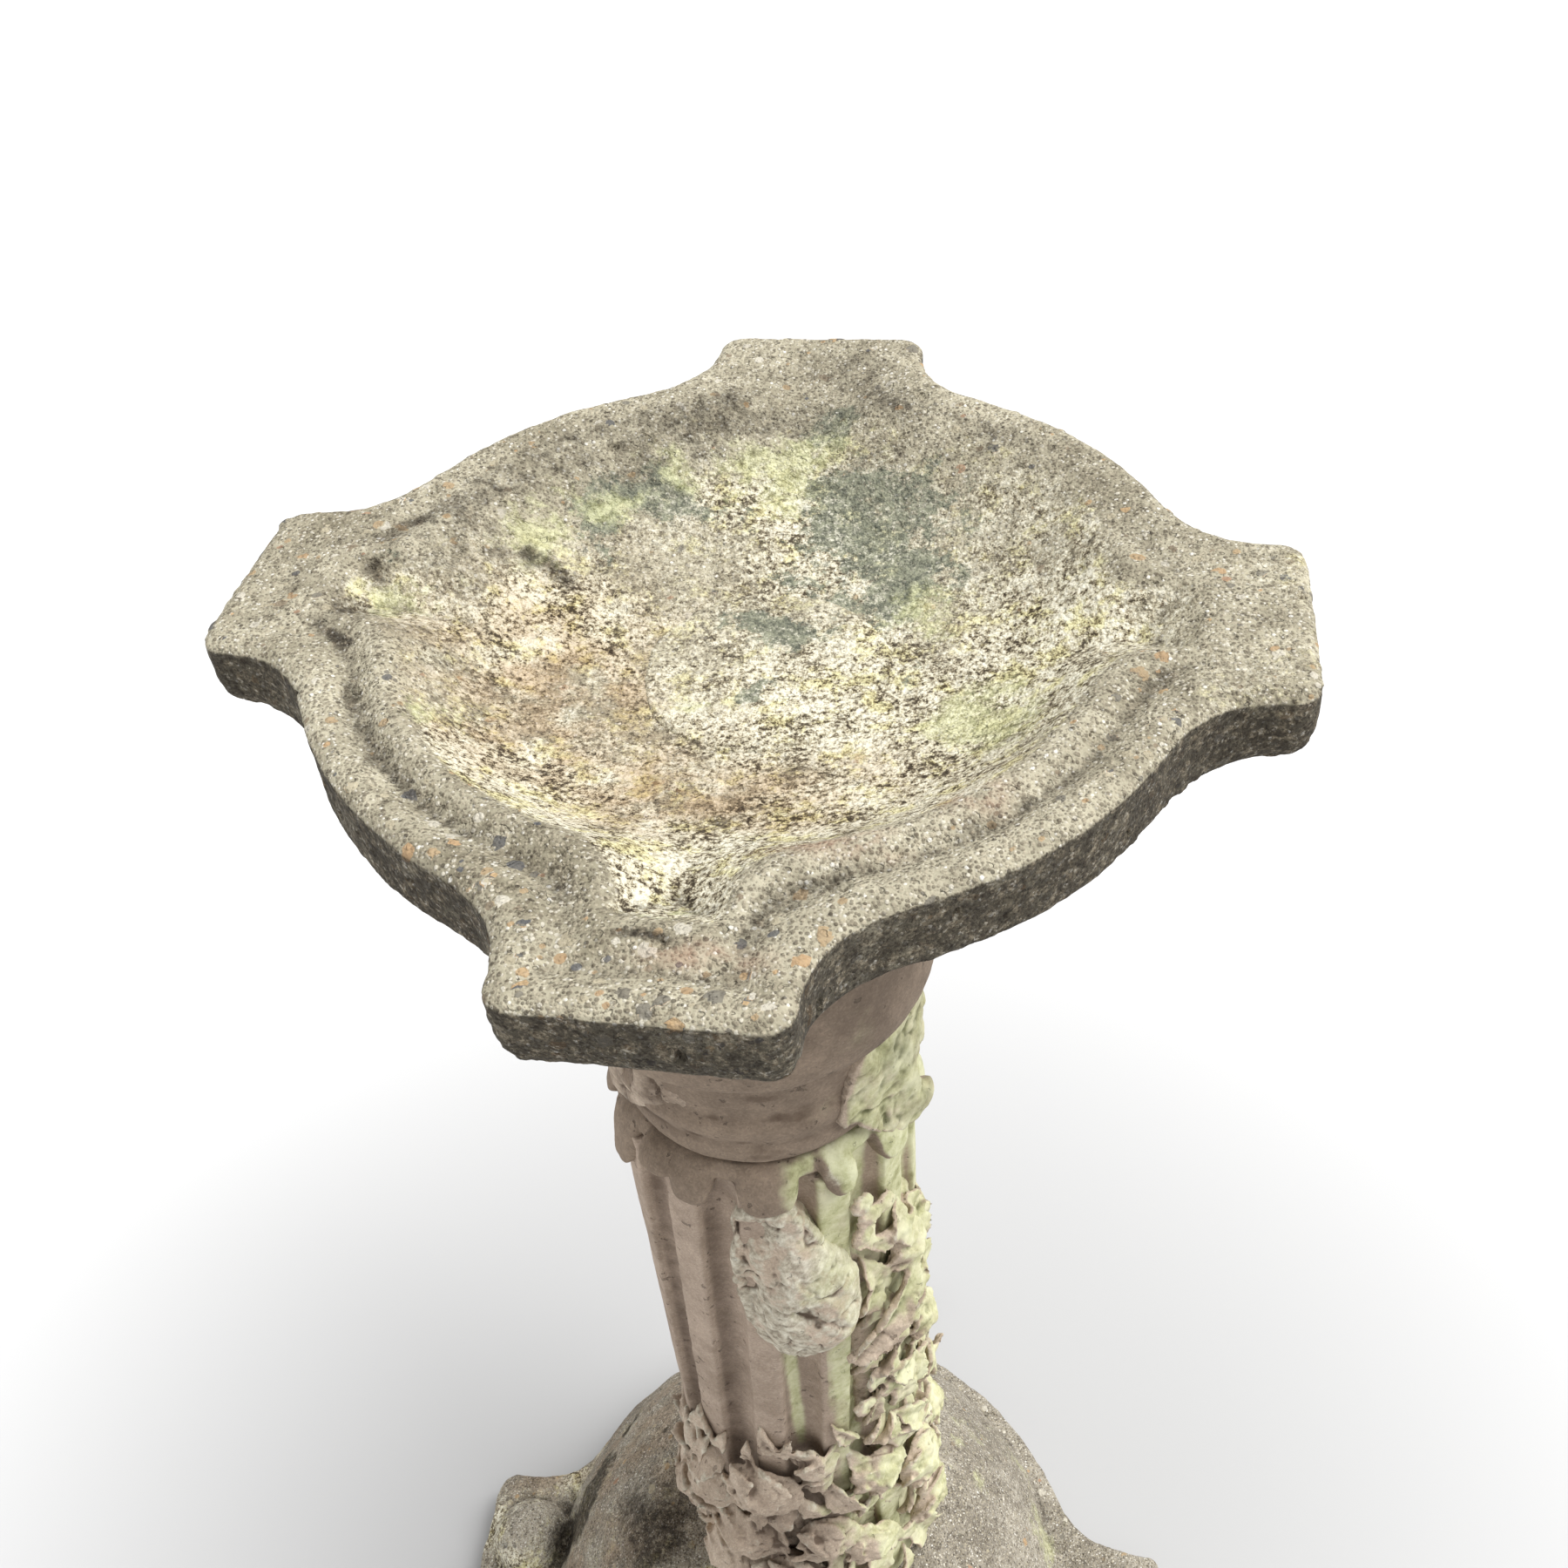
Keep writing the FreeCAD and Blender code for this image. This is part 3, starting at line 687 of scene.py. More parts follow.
MOSS = (
    (-0.02, 0.60, 0.17, 0.12), (-0.26, 0.56, 0.12, 0.07), (-0.49, 0.26, 0.09, 0.14),
    (0.42, -0.16, 0.14, 0.16), (0.33, 0.16, 0.09, 0.12), (-0.68, 0.02, 0.10, 0.07),
    (0.0, -0.75, 0.10, 0.03), (-0.52, -0.38, 0.06, 0.16), (-0.05, -0.08, 0.12, 0.10),
    (-0.38, 0.40, 0.12, 0.08),
)
RUST = ((0.08, -0.87, 0.08, 0.022), (0.25, -0.62, 0.10, 0.03), (0.44, -0.50, 0.05, 0.04))
DARK = ((-0.46, 0.17, 0.08, 0.03), (-0.70, -0.17, 0.04, 0.015), (-0.02, -0.775, 0.07, 0.012),
        (-0.33, -0.36, 0.02, 0.015), (-0.52, 0.20, 0.04, 0.03))


def stain(patches, x, y):
    """How strongly the patches cover each place, from 0 to 1."""
    cover = np.zeros(len(x))
    for across, up, wide, high in patches:
        cover = np.maximum(cover, np.exp(-(((x - across) / wide) ** 2) - ((y - up) / high) ** 2))
    return cover


def ragged(casting):
    """Plan places in bowl reaches, shifted by noise so that a stain put there has a ragged edge."""
    x, y = plan_of(casting.points)
    return x + 0.10 * casting.rough(36, 301, 6), y + 0.10 * casting.rough(36, 308, 6)


def make_bowl(material):
    """The bowl, from its plan's signed distance. Its basin is stained, with painted shade on its upper back
    walls; its flanks are darkened with dirt and painted shade.
    """
    rings = eared_rings(BOW, EAR)
    top, under = (np.concatenate([rings, face(rings[..., 0], rings[..., 1])[..., None]], -1)
                  for face in (bowl_top, bowl_under))
    points, faces = slab(top, under, 16)
    points = points * REACH * np.array([*STRETCH, 1.0]) + np.array([BOWL.x, BOWL.y, RIM - 0.5 * MM])
    points[:, :2] += OFFSET
    bowl = Casting("bowl_stone", [(points, faces)], 1.3)
    p = bowl.points
    large, small, grit = bowl.rough(45, 3), bowl.rough(12, 5), bowl.rough(3.5, 6, 2)
    bowl.push((0.8 * large + 0.35 * small + 0.35 * grit) * MM)
    x, y = plan_of(p)
    inside = -eared(x, y, BOW, 1.0, EAR)
    up = bowl.normals[:, 2].copy()
    depth = (RIM - p[:, 2]) / REACH
    basin = ease(pool(x, y) + 0.02 * small, -0.015, 0.035) * (up > 0.2)
    rim = (1 - basin) * (up > 0.2)
    hollow = bowl.hollow(25, 1.2)
    front = ease(-y, 0.72, 0.9)
    bowl.pebbles(5.5, 0.9, 3.7, cover=0.26 - 0.16 * basin + 0.36 * front, proud=0.14, seed=11)

    patchy = bowl.rough(30, 21)
    high = 1 - ease(depth, 0.07, 0.15)
    # Painted shade with some stain, strongest at the back left: it darkens the basin's upper walls and the
    # rim's inner band there, and thins the pale crust.
    shaded = ease(y - 0.7 * x + 0.12 * patchy, 0.0, 0.8)
    right = ease(x + 0.15 * patchy, 0.55, 0.9)
    sx, sy = ragged(bowl)
    crust = np.minimum(0.44 + 0.40 * stain(CRUST, sx, sy), 0.76)
    # On the rim the pale crust is held back except towards the right ear. There it is partly crust and
    # partly painted light from the right.
    bowl.paint(crust=basin * crust * (1 - 0.45 * high * shaded) - (0.45 - 0.75 * right) * (1 - basin),
               tan=basin * stain(TAN, sx, sy), slate=basin * stain(SLATE, sx, sy),
               moss=basin * stain(MOSS, sx, sy), rust=stain(RUST, x, y) * (up > 0.3))
    # The flanks and underside, facing down and away from the light, are painted dark: dirt with painted
    # shade.
    flank = ease(-up, -0.6, -0.1) * (0.95 + 0.25 * ease(-up, 0, 0.7))
    wall = basin * high * (0.05 + 0.6 * shaded) * (1 - 0.8 * stain(MOSS, sx, sy))
    band = 0.28 * (1 - basin) * (up > 0.3) * shaded * ease(inside, 0.03, 0.10)
    # Painted shade in the rim's groove, and below it in the hollows; the listed DARK patches are dark
    # debris.
    groove = 0.30 * hill(inside - 0.1, 0.035) * rim * moulding(x, y)
    dark = 1.05 * stain(DARK, sx, sy) + 0.5 * np.maximum(hollow, 0)
    bowl.paint(grime=flank + wall + band + groove + dark + 0.25 * patchy)
    bowl.done(material, "bowl", "bowl", "bowl_aggregate")


def make_patch(material):
    """The mortar disc in the basin's middle: worn nearly level with the crusted floor round it."""
    low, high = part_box("basin_patch")
    middle, radius = (low + high) / 2, (high.x - low.x) / 2
    angle = circle(200)
    wobble = 1 + 0.02 * np.sin(3 * angle + 1) + 0.012 * np.sin(7 * angle)
    profile = ((0.02, -4.0), (0.96, -4.0), (1.0, -0.6), (0.97, 0.3), (0.9, 0.7), (0.5, 1.0), (0.02, 1.1))
    rings = []
    for share, height in profile:
        x = middle.x + share * radius * wobble * np.cos(angle)
        y = middle.y + share * radius * wobble * np.sin(angle)
        away = np.hypot(*plan_of(np.stack([x, y], 1)))
        lean = 0.5 * (x - middle.x) / radius
        rings.append(np.stack([x, y, RIM + REACH * floor_height(away) + (height + lean) * MM], -1))
    patch = Casting("mortar_patch", [skin(np.array(rings))], 1.0)
    p = patch.points
    patch.roughen((0.4, 18, 7), (0.3, 4, 8))
    x, y = (p[:, 0] - middle.x) / REACH, (p[:, 1] - middle.y) / REACH
    sx, sy = ragged(patch)
    # A painted shadow along the disc's raised edge, on its right and front side.
    rim = ease(np.hypot(x, y), 0.215, 0.24) * ease(x - y, -0.1, 0.2)
    patch.paint(pebble=-1, tone=0, rust=0,
                crust=np.minimum(0.42 + 0.45 * stain(CRUST[:1], sx, sy), 0.8),
                tan=0.5 * stain(((-0.12, -0.12, 0.12, 0.10),), sx, sy),
                slate=stain(((0.02, 0.16, 0.16, 0.07), (0.05, -0.02, 0.05, 0.03)), sx, sy),
                moss=0.8 * stain(((-0.05, -0.05, 0.12, 0.08),), sx, sy),
                grime=0.35 * rim + 0.2 * patch.rough(12, 3))
    patch.done(material, "bowl", "basin_patch", "patch_mortar")


PLATE_BOW, PLATE_EAR = 182 / 238, 47 / 238  # of the plinth's reach, as BOW and EAR are of the bowl's
PLATE = 27  # its height, in millimetres, as are the rest
BOSS_PLACE, BOSS_RADIUS, BOSS_RISE = 205, 27, 22  # places are along an ear from the plinth's middle
PIT_PLACE, PIT_DEPTH = 176, 18
DOME_OFFSET = 8  # to the left
# (distance from the dome's middle, height)
DOME = ((0, 140), (88, 140), (98, 136), (120, 117), (140, 94), (156, 70), (168, 46), (176, 27), (300, -60))


def make_plinth(material):
    """The eared plate with its dome, a boss on each ear and the worn pit behind each boss."""
    rings = eared_rings(PLATE_BOW, PLATE_EAR)
    x, y = rings[..., 0] * PLINTH_REACH / MM, rings[..., 1] * PLINTH_REACH / MM
    along, across = np.maximum(abs(x), abs(y)), np.minimum(abs(x), abs(y))
    inside = -eared(rings[..., 0], rings[..., 1], PLATE_BOW, 1.0, PLATE_EAR) * PLINTH_REACH / MM
    plate = PLATE - 3 * (1 - ease(inside, 0, 6))
    dome = np.interp(np.hypot(x + DOME_OFFSET, y), *np.transpose(DOME))
    share = np.hypot(along - BOSS_PLACE, across) / BOSS_RADIUS
    boss = np.where(share < 1, PLATE + BOSS_RISE * np.sqrt(np.clip(1 - share**2, 0, 1)), 0)
    pit = hill(along - PIT_PLACE, 9) * hill(across, 17)
    height = np.maximum(np.maximum(plate, dome), boss) - PIT_DEPTH * pit
    top, under = (np.stack([x, y, z], -1) for z in (height, 0 * x))
    points, faces = slab(top, under, 10)
    plinth = Casting("plinth_stone", [(points * MM, faces)], 1.7)
    plinth.wear(6)
    p = plinth.points
    above = ease(p[:, 2], 2 * MM, 8 * MM)
    plinth.roughen((2.6, 50, 31), (1.5, 16, 33), cover=above)
    hollow = np.maximum(plinth.hollow(40, 2.5), 0)
    plinth.pebbles(9.0, 1.2, 3.6, cover=0.16, proud=0.12, seed=17)

    x, y = p[:, 0], p[:, 1]
    up = plinth.normals[:, 2]
    patchy, blots = plinth.rough(60, 41), plinth.rough(26, 47)
    along, across = np.maximum(abs(x), abs(y)), np.minimum(abs(x), abs(y))
    # The pits behind the bosses, painted dark below as shade in them.
    sunk = hill(along - PIT_PLACE * MM, 14 * MM) * hill(across, 20 * MM)
    pale = 0.22 + 0.5 * ease(patchy + blots, -0.2, 0.8) * (up > 0.1)
    plinth.paint(crust=pale * (1 - 0.75 * ease(x, -0.02, 0.06)),
                 tan=0.8 * ease(plinth.rough(70, 44), -0.3, 0.3) * ease(-x, 0.02, 0.14),
                 moss=0.75 * ease(plinth.rough(45, 45), -0.1, 0.6) * ease(x, -0.03, 0.08),
                 slate=0, rust=0)
    smudge = 0.85 * ease(blots + patchy, 0.0, 0.4) * ease(-x, 0.03, 0.11) * ease(p[:, 2], 0.03, 0.08)
    wet = hill(x + 0.095, 0.034) * hill(y + 0.025, 0.036) * np.exp(0.8 * plinth.rough(30, 48))
    # Painted shade in hollows, in the pits and on faces that look down; the smudge and the wet patch are
    # dirt.
    dark = np.maximum(smudge, 0.85 * np.minimum(wet, 1)) + 0.8 * hollow + 1.2 * sunk
    plinth.paint(grime=dark + 0.5 * ease(-up, -0.2, 0.6) + 0.3 * blots)
    plinth.done(material, "base", "plinth", "plinth_aggregate")


# ---- the column and its relief


DAMP_SIDE = math.radians(8)  # azimuth that the algae faces
FLUTE_PITCH = math.pi / 6  # twelve flutes


def azimuth_of(points):
    return np.arctan2(points[:, 1] - AXIS.y, points[:, 0] - AXIS.x)


def twist(height):
    """How far the flutes have turned at a height in millimetres: they weren't cut quite upright."""
    return np.radians(np.clip((height - LEVEL) * 0.038, -8, 4))


def flute_turn(azimuth, height):
    """Angle from the middle of the nearest flute, at a height in millimetres."""
    return (azimuth - FRONT - twist(height) + FLUTE_PITCH / 2) % FLUTE_PITCH - FLUTE_PITCH / 2


def stain_and_shade_column(casting, worn=0.0, dirt_and_shade=0.8, hollow_depth=1.6, green=1.0, shade=0.0):
    """Pale algae on what faces the damp side, dirt with painted shade in hollows and under ledges, and pale
    edges: worn chips with a painted highlight.

    shade is added to the dirt and painted shade: a number, or one for each point. Returns the algae.
    """
    p = casting.points
    # Painted shade with dirt: hollows, sharp and broad, are darkened below, and so are faces that look down
    # under ledges.
    sharp, broad = casting.hollow(14, hollow_depth), casting.hollow(60, 4)
    hollow = np.maximum(sharp, 0) + 0.7 * np.maximum(broad, 0)
    facing = casting.averaged(casting.normals, 6)
    right = facing[:, 0] * math.cos(DAMP_SIDE) + facing[:, 1] * math.sin(DAMP_SIDE)
    place = ease(0.5 + 0.5 * np.cos(azimuth_of(p) - DAMP_SIDE), 0.42, 0.70)
    damp = green * place * ease(right + 0.25 * facing[:, 2] + 0.25 * casting.rough(30, 51), 0.08, 0.62)
    under = 0.35 * ease(-casting.normals[:, 2], 0.2, 0.9)
    # Sharp edges are painted pale: worn chips, and a painted highlight along them.
    chipped_and_highlit = 0.5 * np.clip(-sharp, 0, 1) * (worn > 0)
    casting.paint(algae=damp, grime=dirt_and_shade * hollow + under + 0.18 * casting.rough(30, 52) + shade,
                  worn=worn * (1 + 0.5 * casting.rough(20, 53)) + chipped_and_highlit)
    return damp


def make_shaft(material):
    """The column. Its twelve flutes are arcs cut into it, painted dark with dirt and painted shade, darkest
    against their left edge.
    """
    radius, flute, setback, top = SHAFT_RADIUS / MM - 1.5, 10.0, 1.6, 603.0
    angle = circle(480)
    rings = []
    for height in np.linspace(FOOT / MM, top, 240):
        turn = flute_turn(angle, height)
        away = (radius + setback) * np.sin(turn)
        deep = (radius + setback) * np.cos(turn) - np.sqrt(np.clip(flute**2 - away**2, 0, None))
        fluted = np.where(abs(away) < flute, np.minimum(deep, radius), radius)
        share = ease(height, 160, 176)
        rings.append(around(angle, (radius * (1 - share) + fluted * share) * MM, height * MM))
    shaft = Casting("fluted_shaft", [skin(np.array(rings))], 1.1)
    p = shaft.points
    shaft.roughen((0.5, 50, 61), (0.12, 9, 62))
    damp = stain_and_shade_column(shaft, hollow_depth=2.5)
    degrees, z = np.degrees(azimuth_of(p)), p[:, 2] / MM
    out = np.hypot(p[:, 0] - AXIS.x, p[:, 1] - AXIS.y) / MM
    sunk = ease(radius - out, 0.6, 5.0)
    left = ease(-flute_turn(azimuth_of(p), z), -0.10, 0.12)
    runs = rough(p * np.array([1, 1, 0.2]), 14 * MM, 63)
    streak = ease(z, 338, 380) * ease(-z, -490, -455) * hill(degrees + 79, 3.0)
    fillets = 0.8 * ease(degrees, -66, -60) * ease(-degrees, -40, 0) * (1 - sunk)
    damp = np.maximum(damp, np.maximum(1.3 * streak, fillets))
    # Dirt with painted shade in the flutes, strongest against their left walls and less where algae grows.
    grime = sunk * (0.20 + 0.45 * left) * (1 - np.minimum(0.9 * damp, 1))
    shaft.paint(algae=damp, grime=grime + 0.12 * runs + 0.10 * shaft.rough(30, 52))
    shaft.done(material, "pedestal", "shaft", "pedestal_stone")


# Half of the capital's section from its foot up: (radius, height) in millimetres.
CAPITAL = (
    (40, 615.3), (57, 615.5), (60.2, 617.5), (62.0, 621), (62.6, 625.5), (61.7, 630), (62.6, 634.5),
    (64.2, 638.5), (64.3, 642.5), (62.7, 647), (62.2, 652), (62.8, 662), (63.8, 674), (65.5, 680),
    (69, 682.3), (74.5, 684.5), (77, 691), (78, 699), (78, 708), (77, 722), (75, 738), (72.5, 754),
    (69.5, 770), (66, 784), (63, 795), (40, 796),
)


def make_capital(material):
    """Neck, two soft rings and the smooth bell that the bowl stands on."""
    capital = Casting("capital_stone", [turned(spline(CAPITAL, 260), 400)], 1.2)
    p = capital.points
    capital.roughen((0.9, 36, 71), (0.35, 9, 72))
    stain_and_shade_column(capital, green=0.15)
    # The neck under the bell is painted darker: shade under the bell and the bowl, with dirt blotches. Its
    # hollows get painted shade, and the bell is painted a little lighter.
    neck = ease(-p[:, 2], -0.686, -0.678)
    blots = ease(rough(p * np.array([1, 1, 2.2]), 17 * MM, 73), 0.1, 0.7)
    hollow = np.maximum(capital.hollow(20, 1.3), 0)
    grime = neck * (0.26 + 0.4 * blots) - 0.12 * (1 - neck) + 0.8 * hollow
    capital.paint(grime=grime + 0.12 * capital.rough(30, 52))
    capital.done(material, "pedestal", "capital", "pedestal_stone")


# How the collar's bell spreads: (share of the way out, share of the way down) from its top edge.
COLLAR = ((0.0, 0.0), (0.12, 0.02), (0.3, 0.07), (0.5, 0.17), (0.7, 0.33), (0.85, 0.52), (0.95, 0.74),
          (1.0, 0.92))
# Leaf tongues that hang over the column: (azimuth, half width in degrees, height of the tip in mm).
TONGUES = (
    (-174, 10, 592), (-149, 11, 578), (-124, 9, 602), (-108.5, 8.5, 594), (-79, 12, 592.5),
    (-51.5, 7, 593), (-24, 10, 590), (6, 11, 592), (36, 12, 589), (66, 11, 592), (96, 12, 590),
    (126, 11, 588), (156, 11, 590),
)


def make_collar(material):
    """A low bell under the joint whose edge spreads into hanging leaf tongues."""
    count, top, edge = 720, 614.5, 606.0
    neck, hem, tongue, core = 58.5, 63.5, 9.0, 30.0
    angle = circle(count)
    lobe, tip = np.zeros(count), np.full(count, edge)
    for azimuth, half, low in TONGUES:
        away = abs((np.degrees(angle) - azimuth + 180) % 360 - 180) / half
        bump = np.clip(1 - away**2.8, 0, 1) ** (1 / 2.2)
        tip = np.where(bump > lobe, edge - (edge - low) * bump, tip)
        lobe = np.maximum(lobe, bump)
    reach = hem + tongue * lobe
    rings = [(core, top)]
    rings += [(neck + (reach - neck) * out, top - (top - tip) * down) for out, down in COLLAR]
    rings += [(reach - 0.8, tip), (reach - 4, tip - 0.6), (52.0, tip + 1), (core, tip + 1)]
    made = np.array([around(angle, radius * MM, height * MM) for radius, height in rings])
    collar = Casting("collar_leaves", [skin(made)], 1.0)
    collar.wear(2)
    p = collar.points
    collar.roughen((0.9, 18, 81), (0.4, 5, 82))
    stain_and_shade_column(collar, dirt_and_shade=0.9)
    collar.paint(worn=0.9 * hill(np.degrees(azimuth_of(p)) + 51.5, 7) * hill(p[:, 2] / MM - edge, 14))
    collar.done(material, "pedestal", "leaf_collar", "pedestal_stone")


def acanthus_leaf(azimuth, height, outline, grooves, edge, crown, curl):
    """One broad leaf against the neck. grooves are (across, low, high, deep) in millimetres.

    curl gives the height to add at (across, up).
    """
    stand, sink = 62, 12.0

    def surface(side, up, share):
        z = 1.6 * np.sin(side / 7.0 + up / 18.0) * ease(share, 1.0, 0.7) + curl(side, up)
        for across, low, high, deep in grooves:
            ends = ease(up, low - 4, low) * ease(-up, -high - 4, -high)
            z = z - deep * hill(side - across, 3.0) * ends
        return z

    points, faces = pillow(outline, edge, crown, sink, surface)
    return laid(points, math.radians(azimuth), stand * MM, height * MM), faces


def make_acanthus(material):
    """Three broad leaves that stand on the collar against the neck, curling out at their sides."""
    right = ((-21, -7), (-14, -13), (-5, -25), (3, -34), (12, -42), (22, -45), (31, -42), (32, -34),
             (26, -24), (31, -12), (41, 2), (43, 16), (33, 25), (14, 27), (0, 29), (-11, 25), (-18, 10))
    left = ((35, 32), (35, 12), (30, -2), (10, -14), (-8, -26), (-20, -37), (-31, -34), (-36, -10),
            (-36, 14), (-30, 33), (-4, 38), (20, 36))
    back = ((-30, 34), (-28, 8), (-20, -20), (-8, -34), (8, -36), (20, -22), (29, 6), (30, 34), (0, 44))
    parts = [
        acanthus_leaf(-30, 640, right, ((2, -28, 26, 2.5), (27, -24, -10, 9.0)), 3.5, 2.5,
                      lambda side, up: 6.0 * ease(side, 6, 34) + 4.0 * ease(-up, 4, 42)),
        acanthus_leaf(-137, 650, left, ((0, -8, 24, 6.5), (-20, -26, 30, 1.5)), 2.5, 1.5,
                      lambda side, up: 1.5 * ease(-side, 0, 26) - 3.0 * ease(side, 6, 34)),
        acanthus_leaf(96, 640, back, ((0, -30, 40, 3.0), (-14, -20, 34, 2.0), (14, -20, 34, 2.0)), 4.0, 3.0,
                      lambda side, up: 4.0 * ease(abs(side), 8, 28) + 3.0 * ease(-up, 0, 36)),
    ]
    leaves = Casting("acanthus", parts, 1.0)
    leaves.wear(1)
    leaves.roughen((1.2, 14, 91), (0.6, 5, 92), cracks=(0.9, 16, 93))
    degrees = np.degrees(azimuth_of(leaves.points))
    # Painted shade: the leaves under the bowl are darker, the left leaf more, mottled by noise.
    shade = 0.34 + 0.20 * ease(-degrees, 90, 100) + 0.3 * leaves.rough(7, 94)
    stain_and_shade_column(leaves, worn=0.3, dirt_and_shade=0.9, green=0.75, shade=shade)
    leaves.done(material, "pedestal", "acanthus_leaves", "relief_stone")


def make_drop(material):
    """The big leaf at the front, so worn that only a pitted lump is left."""
    azimuth, stand, middle = math.radians(-72), 66 * MM, 530 * MM
    outline = ((-23, 62), (-26, 38), (-28, 1), (-25, -24), (-19, -47), (-4, -62), (11, -60), (21, -50),
               (27, -32), (28, -9), (24, 12), (15, 27), (12, 38), (6, 53), (-2, 62))
    pits = ((-19, 3, 3, 13, 4.5), (1, -5, 5, 4, 8.0), (0, -11, 2.5, 5, 5.0), (-9, 22, 3, 10, 2.5),
            (13, 10, 3, 8, 2.0), (-13, 42, 3, 10, 2.0))  # (across, up, half width, half height, deep)

    def surface(side, up, share):
        height = 5.5 * hill(side - 14, 12) * hill(up + 22, 20) - 6.0 * ease(up, 10, 56)
        height = height - 7.0 * ease(-side, 2, 26)
        for across, high, wide, tall, deep in pits:
            height = height - deep * hill(side - across, wide) * hill(up - high, tall)
        return height * ease(share, 1.02, 0.75)

    points, faces = pillow(outline, 1.0, 15.0, 10.0, surface)
    drop = Casting("worn_leaf", [(laid(points, azimuth, stand, middle), faces)], 0.9)
    drop.wear(2)
    drop.roughen((1.8, 14, 101, 5), (0.8, 5, 102), cracks=(1.3, 15, 103))
    stain_and_shade_column(drop, worn=0.7, dirt_and_shade=1.0, hollow_depth=1.3, green=0.55, shade=0.1)
    drop.done(material, "pedestal", "leaf_drop", "relief_stone")


def placed_leaf(azimuth, height, length, roll, stand, shape, lift, droop, cup, lean=0.0):
    """A leaf on the column. Angles are in degrees, lengths in millimetres, lift raises its tip."""
    flat, faces = leaf(length * MM, length * shape * MM, droop, cup, lean)
    flat = flat - np.array([length / 2 * MM, 0, 0])
    flat[:, 2] += lift * flat[:, 0]
    return laid(flat, math.radians(azimuth), stand * MM, height * MM, math.radians(roll)), faces


def crowded_leaf(rng, azimuth, height, length, roll, stand, *ranges):
    """A placed leaf whose shape, lift, droop, cup and lean are drawn from ranges."""
    return placed_leaf(azimuth, height, length, roll, stand, *(rng.uniform(*pair) for pair in ranges))


def placed_rose(radius, azimuth, height, stand, turn, tilt=0.0):
    """A rose on the column, with its parts' points bent round it. tilt turns its face up or down."""
    made = []
    for flat, faces in rose(radius * MM, turn):
        flat[:, 2] += tilt * flat[:, 0]
        made.append((laid(flat, math.radians(azimuth), stand * MM, height * MM), faces))
    return made


def lumpy_core(azimuths, low, high, radius, lump, seed):
    """Rough backing behind the leaves, over azimuths in degrees. It slopes down to its edges."""
    root, inner, columns, rows = 58, 55, 90, 70
    span = np.radians(np.linspace(*azimuths, columns))
    angle, height = np.meshgrid(span, np.linspace(low, high, rows), indexing="ij")
    spots = np.stack([np.cos(angle) * 70, np.sin(angle) * 70, height], -1).reshape(-1, 3)
    bulge = (radius + lump * rough(spots, 16, seed)).reshape(angle.shape)
    fade = ease(height, low, low + 8) * ease(-height, -high, -high + 14)
    edge = np.sin(np.linspace(0, math.pi, columns))[:, None] ** 0.3
    top = around(angle, (root + (bulge - root) * fade * edge) * MM, height * MM)
    under = around(angle, inner * MM, height * MM)
    return skin(np.concatenate([top, under[:, ::-1]], axis=1))


def wreath_top(azimuth):
    """Height of the foot wreath's upper edge in millimetres, for an azimuth in degrees."""
    return 330 + 48 * math.cos(math.radians(azimuth + 50)) + 12 * math.sin(math.radians(5 * azimuth))


# Roses of the foot wreath: (azimuth in degrees, height, radius in millimetres).
ROSES = (
    (-98, 322, 23), (-128, 292, 18), (-72, 262, 19), (-112, 252, 20), (-46, 318, 18), (-88, 205, 21),
    (-52, 232, 18), (-150, 236, 18), (-18, 272, 19), (-128, 190, 19), (20, 250, 18), (44, 200, 20),
    (66, 268, 17), (92, 220, 19), (118, 262, 18), (140, 200, 20), (166, 250, 18), (-172, 200, 19),
    (-8, 200, 20),
)
# Narrow sprays that stand up past its edge: (azimuth, height, length, lean to the right).
SPRAYS = (
    (-94, 372, 34, -12), (-86, 366, 26, 20), (-128, 356, 34, -10), (-135, 340, 40, 6),
    (-118, 348, 30, 14), (-60, 372, 36, -24), (-44, 382, 34, 18), (-148, 312, 36, -8), (-104, 352, 26, 0),
    (-76, 330, 30, 30), (60, 330, 34, 10), (150, 300, 34, -14),
)


def under_rose(azimuth, height, roses):
    """Whether a leaf at this place would hide one of the roses."""
    return any(math.hypot((azimuth - a) * 1.25, height - h) < 0.95 * size for a, h, size in roses)


